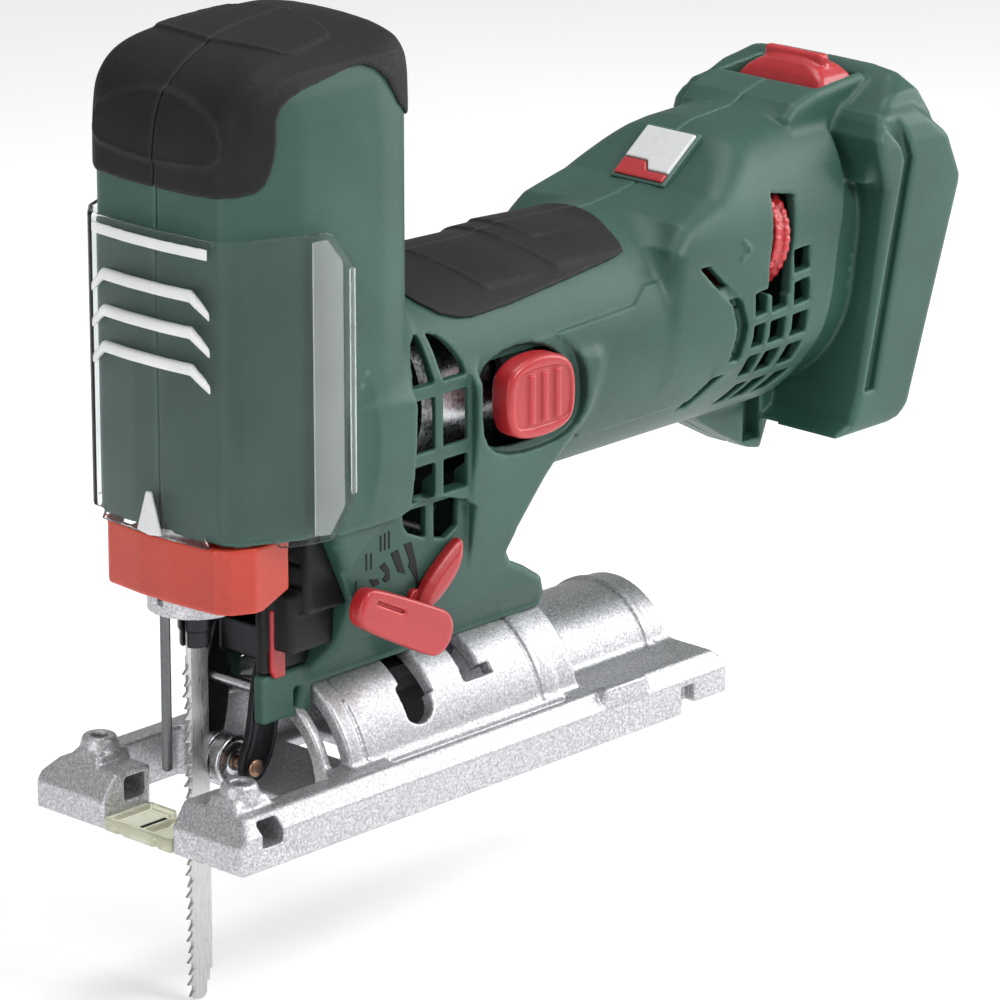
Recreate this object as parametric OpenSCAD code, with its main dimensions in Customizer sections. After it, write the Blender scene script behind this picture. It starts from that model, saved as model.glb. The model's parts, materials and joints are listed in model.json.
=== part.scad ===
// Cordless jigsaw with a barrel grip, a tilting cast sole and a slide-on
// battery shoe. Millimetres. X runs towards the rear, Y to the tool's right,
// Z up. The origin is the point of the sole plane that the plunger axis meets.

/* [Sole] */
// Width of the sole
base_w = 75; // [74:0.5:78]
// Rear end of the sole, measured from the plunger axis
base_rear = 161; // [158:1:166]
// Height of the deck of the sole
base_h = 14; // [13:0.5:14.5]
// Height of the straight part of the side rails
rail_h = 9.6; // [8:0.2:10]
// Outer radius of the tilting saddle
saddle_r = 29; // [28.6:0.1:29]
// Outer radius of the dust duct
duct_r = 20; // [18:0.5:21]
// Radius of the threaded guide-screw holes, M5
guide_hole_r = 2.1; // [1.9:0.1:2.3]

/* [Housing] */
// Wall thickness of the clamshell
wall = 2.6; // [2.2:0.1:2.8]
// Radius of the barrel grip
barrel_r = 32.6; // [32.2:0.1:32.8]
// Height of the top of the head above the sole
head_top = 206; // [205:1:209]

/* [Drive] */
// Diameter of the plunger
plunger_d = 9; // [8.6:0.1:9]
// Stroke of the plunger
stroke = 22; // [18:1:22]
// Teeth on the drive gear
gear_teeth = 50; // [50:10:50]
// Teeth on the motor pinion
pinion_teeth = 10; // [10:1:10]
// Radial clearance of running fits
fit = 0.05; // [0.02:0.01:0.09]

/* [Blade] */
// Length of the blade below the sole
blade_below = 48; // [40:1:60]
// Height of the toothed blade body
blade_w = 7.3; // [6.8:0.1:7.4]
// Thickness of the blade
blade_t = 1.3; // [1:0.1:1.5]

/* [Hidden] */
$fn = 64;

axis_z = 101;          // motor and barrel axis
tooth_m = 0.9;         // gear module
gear_z = axis_z + tooth_m * (gear_teeth + pinion_teeth) / 2;
gear_x = 14;           // front face of the gears
gear_w = 8;
pr = plunger_d / 2;
tilt_z = 8;            // height of the tilt axis
saddle_x0 = 27;
saddle_x1 = 112;
hw = base_w / 2;
fork_x = 14; fork_z = 34;
roll_x = 10; roll_z = 14.5;
wheel_c = [188, -17, 120];
wheel_tilt = 11.5;
green = [0.13, 0.30, 0.25];
black = [0.09, 0.09, 0.10];
red = [0.82, 0.16, 0.17];
steel = [0.62, 0.63, 0.65];
alu = [0.80, 0.80, 0.82];

// ---- helpers ----
// side outline (x, z) extruded across the width
module xz(pts, y0, y1)
  translate([0, y1, 0]) rotate([90, 0, 0]) linear_extrude(y1 - y0) polygon(pts);
// end outline (y, z) extruded lengthways
module yz(pts, x0, x1)
  translate([x0, 0, 0]) rotate([90, 0, 90]) linear_extrude(x1 - x0) polygon(pts);
// plan outline extruded upwards
module xy(pts, z0, z1)
  translate([0, 0, z0]) linear_extrude(z1 - z0) polygon(pts);
// box from its lowest to its highest corner
module box(a, b) translate(a) cube(b - a);
// cylinder along X and along Y, from a start point
module cx(p, r, l, f = 64) translate(p) rotate([0, 90, 0]) cylinder(r = r, h = l, $fn = f);
module cy(p, r, l, f = 48) translate(p) rotate([-90, 0, 0]) cylinder(r = r, h = l, $fn = f);
module cz(p, r, l, f = 48) translate(p) cylinder(r = r, h = l, $fn = f);
module both() { children(); mirror([0, 1, 0]) children(); }
function both_y(p) = concat(p, [for (i = [len(p) - 1 : -1 : 0]) [p[i][0], -p[i][1]]]);
function both_x(p) = concat(p, [for (i = [len(p) - 1 : -1 : 0]) [-p[i][0], p[i][1]]]);
function about(p, c, k) = [for (q = p) [c[0] + (q[0] - c[0]) * k[0], c[1] + (q[1] - c[1]) * k[1]]];
function arc(cy, cz, r, a0, a1, n) = [for (i = [0 : n]) let (a = a0 + (a1 - a0) * i / n) [cy + r * cos(a), cz + r * sin(a)]];
// closed coil spring as one swept tube
module coil(r, wire, turns, h, n = 14, m = 6) {
  k = turns * n;
  pts = [for (i = [0 : k]) let (a = 360 * i / n, z = h * i / k)
    for (j = [0 : m - 1]) let (b = 360 * j / m)
      [(r + wire * cos(b)) * cos(a), (r + wire * cos(b)) * sin(a), z + wire * sin(b)]];
  faces = concat(
    [[for (j = [0 : m - 1]) j]],
    [for (i = [0 : k - 1]) for (j = [0 : m - 1])
      [i * m + j, (i + 1) * m + j, (i + 1) * m + (j + 1) % m, i * m + (j + 1) % m]],
    [[for (j = [m - 1 : -1 : 0]) k * m + j]]);
  polyhedron(points = pts, faces = faces, convexity = 8);
}

// ---- clamshell volumes: t is how far the surface is drawn inwards ----
head_plan = [[-12.5, 6], [-11, 21], [-6.5, 25.5], [8, 31.8], [20, 33], [34, 33], [44, 30.5], [50, 25.5], [53.5, 18], [54.5, 8]];
head_side = [[-12.5, 82], [-12.5, 168], [-11.7, 175], [-11, 181], [-8.3, 189], [-4.6, 193.5],
  [1.7, 197.7], [8.4, 201], [20, head_top - 2], [30, head_top - 0.7], [37, head_top], [45, head_top - 1.5],
  [50, head_top - 5], [53.5, head_top - 10], [54.5, head_top - 18], [54.5, 82]];
head_front = [[33, 82], [33, 182], [32.2, 189], [29.5, 195.5], [24, 200], [16, 203.6], [7, head_top]];
module head_vol(t) {
  kx = (33.5 - t) / 33.5;
  ky = (33 - t) / 33;
  kz = (106 - t) / 106;
  intersection() {
    xy(both_y(about(head_plan, [21, 0], [kx, ky])), 82 + (t > 0 ? t : 0), 220);
    xz(about(head_side, [21, 100], [kx, kz]), -40, 40);
    yz(both_x(about(head_front, [0, 100], [ky, kz])), -30, 70);
  }
}
module hump_vol(t) {
  r = 31.8 - t;
  intersection() {
    yz(both_x(concat([[r, axis_z], [r, 119]], arc(0, 119, r, 12, 78, 8))), 145, 228 - t);
    xz([[150, 96], [150, 131 - t], [158, 133.8 - t], [166, 135.7 - t], [174, 141.6 - t], [182, 147.5 - t],
      [190, 150 - t], [204, 152 - t], [232, 153 - t], [232, 96]], -40, 40);
  }
}
neck_end = [[14.5, 20], [14.5, 36.5], [19.5, 41.5], [24, 47], [29, 62], [32.7, 84], [32.7, 99]];
module neck_vol()
  intersection() {
    xz([[9.5, 26.5], [20.4, 26.5], [20.4, 34], [26.4, 34], [26.4, 30], [113, 30], [113, 36.5],
      [105, 44], [93, 50.5], [87, 57], [92, 68], [112, 90], [112, 98], [14, 98], [14, 58], [9.5, 58]], -40, 40);
    yz(both_x(neck_end), 0, 120);
  }
module neck_hollow()
  intersection() {
    xz([[30, 41.5], [70, 41.5], [70, 50], [84, 50], [84, 58], [89, 68], [108, 88], [108, 98], [17, 98], [17, 84.5], [30, 84.5]], -40, 40);
    yz(both_x([[11.5, 38], [16.4, 43], [21.2, 48.6], [25.4, 62], [26.4, 84], [29.9, 86], [29.9, 100]]), 0, 120);
  }
module shoe_vol() {
  intersection() {
    xz([[212, 62], [228, 62], [235, 66], [256, 127], [250, 140.5], [242, 149.5], [234, 150], [229.5, 143]], -40, 40);
    yz(both_x([[36, 62], [38, 66], [38, 141], [35.5, 150]]), 190, 270);
  }
  intersection() {
    xz([[222, 130], [238, 152], [239.5, 158.6], [243, 158.6], [250, 141], [255, 129], [250, 115], [226, 115]], -36, 36);
    yz(both_x([[35, 110], [35, 146], [32, 154.5], [10, 158.6]]), 190, 270);
  }
}
module lug_vol() xz([[176, 74], [184, 66.5], [192, 61], [203, 55], [207.5, 53.5], [211.5, 64], [212, 74]], -9, 9);
screw_at = [[44, 186], [14, 191], [41, 72], [78, 60], [128, 76], [155, 122.5], [178, 80]];

module clamshell(right) {
  difference() {
    union() {
      difference() {
        union() {
          head_vol(0);
          cx([34, 0, axis_z], barrel_r, 172);
          cx([200, 0, axis_z], 29.5, 34);
          hump_vol(0);
          neck_vol();
          shoe_vol();
          lug_vol();
        }
        head_vol(wall);
        cx([30, 0, axis_z], barrel_r - wall, 178);
        cx([195, 0, axis_z], 29.5 - wall, 23);
        hump_vol(wall);
        neck_hollow();
      }
      // screw posts and motor cradle ribs
      intersection() {
        union() {
          for (s = screw_at) cy([s[0], -40, s[1]], 4.2, 80, 32);
        }
        union() { head_vol(1); cx([34, 0, axis_z], barrel_r - 1, 172); hump_vol(1); neck_vol(); }
      }
      for (x = [62, 104]) difference() {
        cx([x, 0, axis_z], barrel_r - 1, 3);
        cx([x - 1, 0, axis_z], 23.6, 5);
        box([x - 1, -8, axis_z], [x + 4, 8, 140]);
      }
    }
    // saddle relief, fork pocket and opening for the blade holder
    cx([26.3, 0, tilt_z], saddle_r + 0.3, 90);
    box([5, -10.7, 20], [26, 10.7, 57.5]);
    box([5, -11.4, 57], [30.5, 11.4, 82.6]);
    box([26.6, -11.4, 80], [31, 11.4, 86]);
    box([25, -4.6, 43.4], [31, 4.6, 50]);
    cz([0, 0, 80], 12.9, 8);
    // clamp screw and stop pin seats
    cz([57, 0, 30], 3.1, 12);
    cz([77, 0, 30], 2.5, 14);
    // fork pin, lever shafts
    cy([fork_x, -16, fork_z], 1.5, 32);
    cy([51, -40, 46.2], 4.1, 46);
    cy([51, -40, 46.2], 6.6, 14.6);
    // flat dial field behind the two levers
    intersection() { cy([51, -40, 46.2], 34, 11.8); box([15, -40, 40], [70, -28.2, 84]); }
    cy([50, -40, 54.5], 2.1, 20);
    // head ventilation column, both sides
    for (z = [[66, 77], [79.5, 90], [92.5, 106.5], [110, 121]], x = [[47.5, 54.3], [57.5, 64.5]])
      both() box([x[0], 20, z[0]], [x[1], 40, z[1]]);
    // rear ventilation grid
    for (j = [0 : 3], i = [0 : 2])
      both() box([175 + 9 * i - j * 0.8, 20, 107 - 8.4 * j], [180.5 + 9 * i - j * 0.8, 40, 112.4 - 8.4 * j]);
    // slider slots
    both() box([73, 22, 97], [97, 40, 105]);
    // speed wheel slot, left only
    translate(wheel_c) rotate([0, wheel_tilt, 0]) box([-4.3, -40, -13], [4.3, 3, 12.5]);
    // latch button well, hook passage
    box([222, -16.8, 143], [238, 16.8, 170]);
    box([224, -7, 131], [236.5, 7, 150]);
    box([224, -7, 132], [248, 7, 142]);
    box([240.5, -7, 128.5], [248, 7, 142]);
    // battery pocket, open to the rear and below, with rails
    difference() {
      xz([[220, 50], [223.5, 66], [243.6, 127], [246, 138], [270, 138], [270, 50]], -33.6, 33.6);
      both() xz([[231.5, 58], [235.2, 66], [256, 127], [252.6, 127], [232, 66], [229, 58]], 28.6, 40);
    }
    // screw holes
    for (s = screw_at) {
      cy([s[0], 0 - 12, s[1]], 1.6, 40, 24);
      if (right) cy([s[0], 2, s[1]], 2.1, 40, 24);
      if (right) cy([s[0], s[1] > 180 ? 14 : 18, s[1]], 3.9, 30, 32);
    }
    // cut to one half
    box([-40, right ? -60 : 0, -10], [280, right ? 0 : 60, 230]);
  }
}
module housing_left() color(green) clamshell(false);
module housing_right() color(green) clamshell(true);

// soft cap on the head, one piece a side
module cap_half(s) color(black) difference() {
  head_vol(-1.1);
  head_vol(0);
  // everything below the edge of the cap
  xz([[-30, 60], [-30, 169], [-14, 169], [0.5, 171], [2.2, 175], [2.2, 190], [6, 193.5], [28, 198.2],
    [44, 196.5], [51, 181], [53, 176.5], [60, 175], [60, 60]], -50, 50);
  box([-60, s > 0 ? -60 : -0.15, 0], [100, s > 0 ? 0.15 : 60, 260]);
}
module head_cap_left() cap_half(-1);
module head_cap_right() cap_half(1);

// soft pad on the grip, with the lip that climbs the back of the head
module pad_half(s) color(black) difference() {
  union() {
    difference() {
      cx([55.2, 0, axis_z], barrel_r + 1.1, 85);
      cx([50, 0, axis_z], barrel_r, 100);
      xz([[40, 60], [40, 124], [68, 122], [72, 122], [136, 125], [141, 130], [141.5, 140], [150, 140], [150, 60]], -50, 50);
    }
    difference() {
      box([54.7, -7.5, axis_z + barrel_r + 0.6], [55.9, 7.5, 158]);
    }
  }
  box([0, s > 0 ? -60 : -0.15, 0], [200, s > 0 ? 0.15 : 60, 260]);
}
module grip_pad_left() pad_half(-1);
module grip_pad_right() pad_half(1);

module housing_screws() color(steel)
  for (s = screw_at) {
    y = s[1] > 180 ? 14.1 : 18.1;
    difference() {
      union() {
        cy([s[0], -9, s[1]], 1.55, y + 10, 24);
        cy([s[0], y, s[1]], 3.4, 2.8, 32);
      }
      cy([s[0], y + 1.2, s[1]], 1.5, 4, 6);
    }
  }

// ---- gear case and fixed bearings ----
module gear_case() color(alu) difference() {
  union() {
    yz(both_x([[11, 64], [11, 85.2], [24, 85.8], [27, 92], [27, 142], [20, 154], [9, 158], [9, 173]]), 27, 33);
    cx([32, 0, axis_z], 12.5, 11);
    cx([22.3, 0, gear_z], 7, 17.7);
    box([-8, -9, 160], [28, 9, 172]);
    box([2, -9.5, 64], [28, 9.5, 81]);
    cz([0, 0, 58], 12, 23.4);
  }
  cx([35, 0, axis_z], 9.5, 10);
  cx([20, 0, axis_z], 6, 30);
  cx([20, 0, gear_z], 4, 22);
  cz([0, 0, 59.5], 7, 30);
  cz([0, 0, 50], pr + 0.6, 20);
  cz([0, 0, 155], 7, 30);
  cz([-10.4, 0, 50], 1.25, 18);
}
module bush(z0, h) color([0.72, 0.55, 0.30]) difference() {
  cz([0, 0, z0], 7, h);
  cz([0, 0, z0 - 1], pr + fit, h + 2);
}
module upper_bush() bush(160, 12);
module lower_bush() bush(60, 20);
module ball_race(x, r, w) color(steel) difference() {
  cx([x, 0, axis_z], r, w);
  cx([x - 1, 0, axis_z], 2.5 + fit, w + 2);
  for (k = [-1, w - 0.8]) difference() {
    cx([x + k, 0, axis_z], r - 1.8, 1.8);
    cx([x + k - 1, 0, axis_z], 4.4, 4);
  }
}
module front_bearing() ball_race(35.1, 9.5, 6);
module rear_bearing() ball_race(115, 8, 6);

// ---- motor ----
module motor_can() color(steel) difference() {
  cx([58, 0, axis_z], 23.5, 54);
  cx([60, 0, axis_z], 21, 60);
  cx([50, 0, axis_z], 14, 20);
}
module motor_magnets() color([0.2, 0.2, 0.22]) difference() {
  cx([63, 0, axis_z], 21, 42);
  cx([60, 0, axis_z], 18.3, 60);
  box([50, -6, 70], [120, 6, 130]);
}
module motor_end_cap() color(black) difference() {
  union() { cx([112, 0, axis_z], 23.5, 3); cx([112, 0, axis_z], 12, 11); }
  cx([110, 0, axis_z], 8, 11);
  cx([110, 0, axis_z], 4.5, 20);
  both() box([110, 13, axis_z - 3], [116, 20, axis_z + 3]);
}
module carbon_brushes() color([0.15, 0.15, 0.15]) both() box([106, 8.4, axis_z - 2.4], [110.5, 14, axis_z + 2.4]);
module armature() color([0.45, 0.28, 0.16]) difference() {
  cx([66, 0, axis_z], 17.4, 34);
  cx([60, 0, axis_z], 2.5, 60);
  for (a = [0 : 30 : 330]) translate([66, 0, axis_z]) rotate([a, 0, 0]) box([-1, -1, 13], [36, 1, 19]);
}
module motor_shaft() color(steel) cx([12.5, 0, axis_z], 2.5, 109.5);
module commutator() color([0.72, 0.45, 0.25]) difference() {
  cx([103, 0, axis_z], 8, 8.5);
  cx([100, 0, axis_z], 2.5, 20);
  for (a = [0 : 30 : 330]) translate([103, 0, axis_z]) rotate([a + 15, 0, 0]) box([-1, -0.3, 7], [12, 0.3, 9]);
}
module cooling_fan() color(black) difference() {
  union() {
    cx([46, 0, axis_z], 7, 9);
    cx([46, 0, axis_z], 21.5, 1.6);
    for (a = [0 : 40 : 320]) translate([46, 0, axis_z]) rotate([a, 0, 0]) box([0.5, -0.8, 5], [8.2, 0.8, 20.6]);
  }
  cx([40, 0, axis_z], 2.5, 20);
}
// spur wheel outline with slim straight-sided teeth, first tooth along +Y
function teeth(n, ro, rp, ri, to, tp, ti) = [for (i = [0 : n - 1], q = [[ri, -ti], [rp, -tp], [ro, -to], [ro, to], [rp, tp], [ri, ti]])
  let (a = 360 * i / n) [q[0] * cos(a) - q[1] * sin(a), q[0] * sin(a) + q[1] * cos(a)]];
module spur(n, x, z, phase, ro, ri, to, tp, ti)
  translate([x, 0, z]) rotate([90, 0, 90]) rotate([0, 0, phase]) linear_extrude(gear_w)
    polygon(teeth(n, ro, n * tooth_m / 2, ri, to, tp, ti));
module motor_pinion() color(steel) difference() {
  spur(pinion_teeth, gear_x, axis_z, 90, 5.2, 3.5, 0.24, 0.50, 0.75);
  cx([gear_x - 1, 0, axis_z], 2.5, 20);
}
module drive_gear() color([0.55, 0.53, 0.5]) difference() {
  spur(gear_teeth, gear_x, gear_z, -90 + 180 / gear_teeth, 23.2, 21.3, 0.26, 0.52, 0.8);
  cx([gear_x - 1, 0, gear_z], 4 + fit, 20);
  cx([gear_x - 1, stroke / 2, gear_z], 3, 20);
  difference() { cx([gear_x + 5, 0, gear_z], 19.5, 6); cx([gear_x, 0, gear_z], 8.5, 12); cx([gear_x, stroke / 2, gear_z], 5, 12); }
}
module crank_pin() color(steel) cx([8.8, stroke / 2, gear_z], 3, 12);
module gear_axle() color(steel) cx([12.2, 0, gear_z], 4, 27.8);
module axle_clip() color(steel) difference() {
  cx([12.4, 0, gear_z], 6, 1);
  cx([12, 0, gear_z], 4, 3);
  box([11, -2, gear_z - 8], [15, 2, gear_z]);
}

// ---- plunger and blade ----
module plunger_rod() color(steel) difference() {
  cz([0, 0, 61], pr, 115);
  cz([0, 0, 170], 2.5, 10);
}
module yoke() color(steel) difference() {
  union() {
    box([-7, -7, gear_z - 6.5], [8.5, 7, gear_z + 6.5]);
    box([5, -17.5, gear_z - 6.5], [8.5, 17.5, gear_z + 6.5]);
  }
  cz([0, 0, gear_z - 10], pr, 20);
  box([6, -stroke / 2 - 3.8, gear_z - 3.3], [9, stroke / 2 + 3.8, gear_z + 3.3]);
}
module blade_clamp() color([0.25, 0.25, 0.27]) difference() {
  union() { cz([0, 0, 47.6], 4.0, 13.4); cz([0, 0, 52], pr - 0.05, 9); }
  box([-3.2, -blade_t / 2 - 0.05, 40], [3.2, blade_t / 2 + 0.05, 58.2]);
}
module saw_blade() color([0.86, 0.86, 0.84]) {
  xb = 3.9;                       // back edge
  xf = xb - blade_w;              // tooth root line
  n = floor((blade_below + 34) / 3);
  xz(concat(
    [[3.1, 58], [3.1, 46.5], [xb, 45.5], [xb, -blade_below + 8], [xb - 2, -blade_below + 3], [xf + 1.6, -blade_below], [xf + 0.4, -blade_below + 0.3]],
    [for (i = [0 : n - 1]) let (z = -blade_below + 1.4 + 3 * i) each [[xf - 0.75, z], [xf, z + 1.4], [xf, z + 2.2]]],
    [[xf, 45.5], [-3.1, 46.5], [-3.1, 58]]), -blade_t / 2, blade_t / 2);
}
// turning the lever about the plunger opens the blade clamp
module release_lever() color([0.86, 0.22, 0.12]) difference() {
  // shell with a long arm on the left and a short one on the right
  intersection() {
    xy([[8, -25.6], [-4, -26.2], [-9.6, -23.2], [-11.9, -19.8], [-13.1, -6], [-13.1, 6], [-11.9, 18.2], [-9.8, 20.8],
      [-4, 22.6], [-4, 20.2], [-8.2, 18.6], [-9.6, 16.6], [-10.2, 11], [0, 15.4], [0, -15.4], [-10.2, -11],
      [-9.6, -18.8], [-7.8, -21.2], [-4, -23.8], [8, -23.2]], 62, 79.6);
    xz([[-14, 62.5], [-14, 79.6], [8, 79.6], [8, 66], [-1, 62.5]], -30, 30);
  }
  // runs round the nose of the gear case
  cz([0, 0, 50], 12.15, 40);
}
module guard_rod() color(steel) cz([-10.4, 0, 17], 1.25, 50.8, 24);
module clear_shield() color([0.85, 0.9, 0.92, 0.4]) difference() {
  xy(both_y([[-14.8, 6], [-13.4, 21.9], [-8.5, 26.9], [7.2, 34.2], [12, 35], [22, 35]]), 80, 158.5);
  xy(both_y([[-13.5, 6], [-12.2, 21.5], [-7.6, 26.2], [7.8, 32.8], [13, 33.6], [40, 33.6]]), 70, 170);
  // the side walls are lower behind the head's front bevel
  both() xz([[14, 157], [20, 149], [40, 149], [40, 170], [14, 170]], 20, 50);
  // relief in the lower edge for a finger, each side
  both() xz([[-4, 70], [-1, 83], [5, 83], [8, 70]], 20, 40);
}

// ---- orbital action ----
module roller_fork() color(black) difference() {
  union() {
    both() xz([[6.6, 10.6], [9, 9.6], [13.2, 10.4], [17, 16], [19, 24], [20, 32], [20, 50], [15.5, 50], [12.5, 42],
      [10.4, 36], [9.6, 28], [8.4, 21], [6.2, 18]], 8, 10.3);
    box([17, -10.3, 40], [20, 10.3, 50]);
  }
  cy([fork_x, -20, fork_z], 1.5 + fit, 40);
  cy([roll_x, -20, roll_z], 1.5, 40);
}
module fork_pin() color(steel) cy([fork_x, -14, fork_z], 1.5, 28, 32);
module guide_roller() color(steel) difference() {
  cy([roll_x, -4, roll_z], 7, 8);
  difference() { cy([roll_x, -1.2, roll_z], 10, 2.4); cy([roll_x, -3, roll_z], 5.8, 6); }
  cy([roll_x, -6, roll_z], 1.5 + fit, 12);
}
module roller_pin() color(steel) {
  cy([roll_x, -10.9, roll_z], 1.5, 21.8, 32);
  both() cy([roll_x, 10.4, roll_z], 2.3, 0.9, 32);
}
module orbit_link() color(steel) box([20.6, -4, 44], [46.2, 4, 49]);
module orbital_lever() color(red) difference() {
  union() {
    translate([51, 0, 46.2]) rotate([0, 27, 0])
      xz([[-28, -4.6], [-26, -5.6], [0, -6.4], [4.5, -4.5], [6.4, 0], [4.5, 4.5], [0, 6.4], [-26, 5], [-29, 3.4], [-30, -1]], -33.4, -30.3);
    cy([51, -30.6, 46.2], 5.2, 5.2);
    cy([51, -27, 46.2], 4, 34);
  }
  box([46, -5, 48.9], [56, 5, 52]);
}
module blower_lever() color(red) {
  translate([50, 0, 54.5]) rotate([0, -45, 0]) xz([[-2.5, 0], [0, -3], [13, -3.6], [18.5, 0], [13, 3.6], [0, 3]], -30, -28.4);
  cy([50, -29, 54.5], 2, 8);
}

// ---- controls ----
module slider(s) color(red) mirror([0, s > 0 ? 0 : 1, 0]) {
  difference() {
    xz([[76, 96], [78.5, 92.5], [99.5, 92.5], [102, 96], [102, 106], [99.5, 109.5], [78.5, 109.5], [76, 106]], 33.1, 36.6);
    box([86.6, 36, 94], [87.4, 40, 108]);
    box([89.6, 36, 94], [90.4, 40, 108]);
  }
  box([80, 27.7, 98], [96.4, 33.2, 104]);
}
module power_slider_left() slider(-1);
module power_slider_right() slider(1);
module switch_link() color(black) {
  translate([84, 0, axis_z]) rotate([0, 90, 0]) rotate([0, 0, 88]) rotate_extrude(angle = 184) translate([25.6, 0]) square([2, 8]);
  box([84, -3, axis_z + 25.8], [129.7, 3, axis_z + 27.5]);
}
module switch_module() color(black) {
  box([130, -10, 103], [149.5, 10, 126]);
  box([131, -8, 98], [134, 8, 104]);
}
module controller() color([0.1, 0.25, 0.15]) difference() {
  box([162, 2, 86], [204, 22, 124]);
  for (i = [0 : 5]) box([166 + 6 * i, 17, 80], [169 + 6 * i, 25, 130]);
}
module speed_wheel() color(red) translate(wheel_c) rotate([0, wheel_tilt, 0]) difference() {
  rotate([0, 90, 0]) translate([0, 0, -3]) cylinder(r = 15.2, h = 6, $fn = 72);
  rotate([0, 90, 0]) translate([0, 0, -5]) cylinder(r = 2 + fit, h = 12, $fn = 32);
  for (a = [0 : 15 : 345]) rotate([a, 0, 0]) box([-4, -0.5, 14.8], [4, 0.5, 17]);
}
module speed_pot() color([0.1, 0.12, 0.3]) translate(wheel_c) rotate([0, wheel_tilt, 0]) {
  rotate([0, 90, 0]) translate([0, 0, -5]) cylinder(r = 2, h = 10, $fn = 32);
  box([4.9, -6, -7], [10, 8, 7]);
}
module badge_plate() color([0.85, 0.85, 0.86]) translate([173.2, 0, 141.2]) rotate([0, -36.5, 0])
  box([-8.5, -9, 0.3], [8.5, 9, 2]);

// ---- battery shoe ----
module latch_button() color(red) difference() {
  union() {
    intersection() {
      box([222.6, -16.2, 147], [237.4, 16.2, 165]);
      yz(both_x([[16.2, 140], [16.2, 151], [12, 157], [5, 160.4]]), 220, 240);
      xz([[222.6, 140], [222.6, 153], [226, 159], [230, 160.6], [235, 159], [237.4, 154], [237.4, 140]], -20, 20);
    }
    box([225.5, -6, 139], [235, 6, 148]);
    box([234, -6, 136.4], [246, 6, 141]);
    box([241.6, -6, 133], [246, 6, 138]);
  }
  cz([230, 0, 130], 3.2, 13);
}
module latch_spring() color(steel) translate([230, 0, 131.9]) coil(2.4, 0.4, 5, 10.2);
module shoe_frame() translate([224.6, 0, 70]) rotate([0, 18.2, 0]) children();
module terminal_block() color(black) shoe_frame() difference() {
  box([0.45, -16, 2], [8, 16, 36]);
  for (y = [-11.5, -4, 4, 11.5]) box([5, y - 1.6, 0], [9, y + 1.6, 30]);
}
module battery_contacts() color([0.8, 0.65, 0.35]) shoe_frame()
  for (y = [-11.5, -4, 4, 11.5]) box([5, y - 0.5, 6], [11, y + 0.5, 26]);

// ---- sole ----
base_end = [[hw, 0], [hw, rail_h], [hw - 4.6, base_h]];
module base_plate() color(alu) difference() {
  union() {
    intersection() {
      yz(both_x(base_end), -21, base_rear);
      xz([[-21, 0], [-21, 8], [-17, base_h], [base_rear - 2, base_h], [base_rear, 12], [base_rear, 2.4], [148, 2.4], [148, 0]], -50, 50);
    }
    // prong tops and bosses for the guide screws
    both() xz([[-17.4, 10], [-15, 16.4], [-5, 16.4], [-1, 10]], 19.5, 31);
    both() cz([-10, 25.3, 12], 4.8, 8);
    // raised pad on each rail
    both() xz([[112, 6], [113.5, 14.6], [130, 14.6], [131.5, 6]], hw - 4.2, hw - 0.4);
    // saddle, its front collar and the duct
    difference() { cx([saddle_x0, 0, tilt_z], saddle_r, saddle_x1 - saddle_x0); box([0, -50, -40], [200, 50, 3]); }
    difference() { cx([21, 0, tilt_z], 24.8, 8); box([0, -50, -40], [200, 50, 3]); }
    difference() { cx([saddle_x1 - 1, 0, tilt_z], duct_r, 158 - saddle_x1); box([0, -50, -40], [200, 50, 3]); }
  }
  // throat for the blade, wide behind for the roller fork
  box([-30, -12.3, -5], [0, 12.3, 30]);
  box([-4.6, -27.5, -5], [20.9, 27.5, 30]);
  // channel for the fence bar
  box([-13.5, -60, 6], [-6.5, 60, 12]);
  both() cz([-10, 25.3, -5], guide_hole_r, 30);
  // hollow of the saddle and the dust path
  difference() { cx([24, 0, tilt_z], saddle_r - 4, 85); box([0, -50, -40], [200, 50, 3.5]); }
  difference() { cx([15, 0, tilt_z], 20.8, 30); box([0, -50, -40], [200, 50, 3.5]); }
  difference() { cx([100, 0, tilt_z], duct_r - 3.4, 80); box([0, -50, -40], [200, 50, 3.5]); }
  // slots across the saddle for the clamp screw and the stop pin
  translate([52.4, 0, tilt_z]) rotate([0, 90, 0]) rotate([0, 0, 126]) rotate_extrude(angle = 108) translate([20, 0]) square([12, 9.2]);
  translate([73.8, 0, tilt_z]) rotate([0, 90, 0]) rotate([0, 0, 128]) rotate_extrude(angle = 104) translate([20, 0]) square([12, 6.4]);
  // key access through the sole
  box([51, -20, -5], [63, 20, 6]);
  // hooks for a sole cover
  both() box([143, hw - 4, -5], [148, hw + 5, 7.8]);
}
module splinter_insert() color([0.9, 0.92, 0.85, 0.5]) difference() {
  box([-20.8, -12.2, 0.3], [-5.2, 12.2, 3.9]);
  box([-20, -10, 2.4], [-5, 10, 5]);
  box([-9, -1.2, -1], [-5, 1.2, 6]);
}
module base_clamp_screw() color(steel) difference() {
  union() { cz([57, 0, 22], 5, 7.2); cz([57, 0, 29], 3, 12.8); }
  cz([57, 0, 20], 2.9, 5, 6);
}
module base_clamp_shoe() color(steel) difference() {
  intersection() {
    cx([50.5, 0, tilt_z], saddle_r - 4.3, 13);
    box([40, -12, 29.2], [70, 12, 40]);
  }
  cz([57, 0, 20], 3.1, 20);
}
module tilt_stop_pin() color(steel) cz([77, 0, 31], 2.5, 13);

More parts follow.
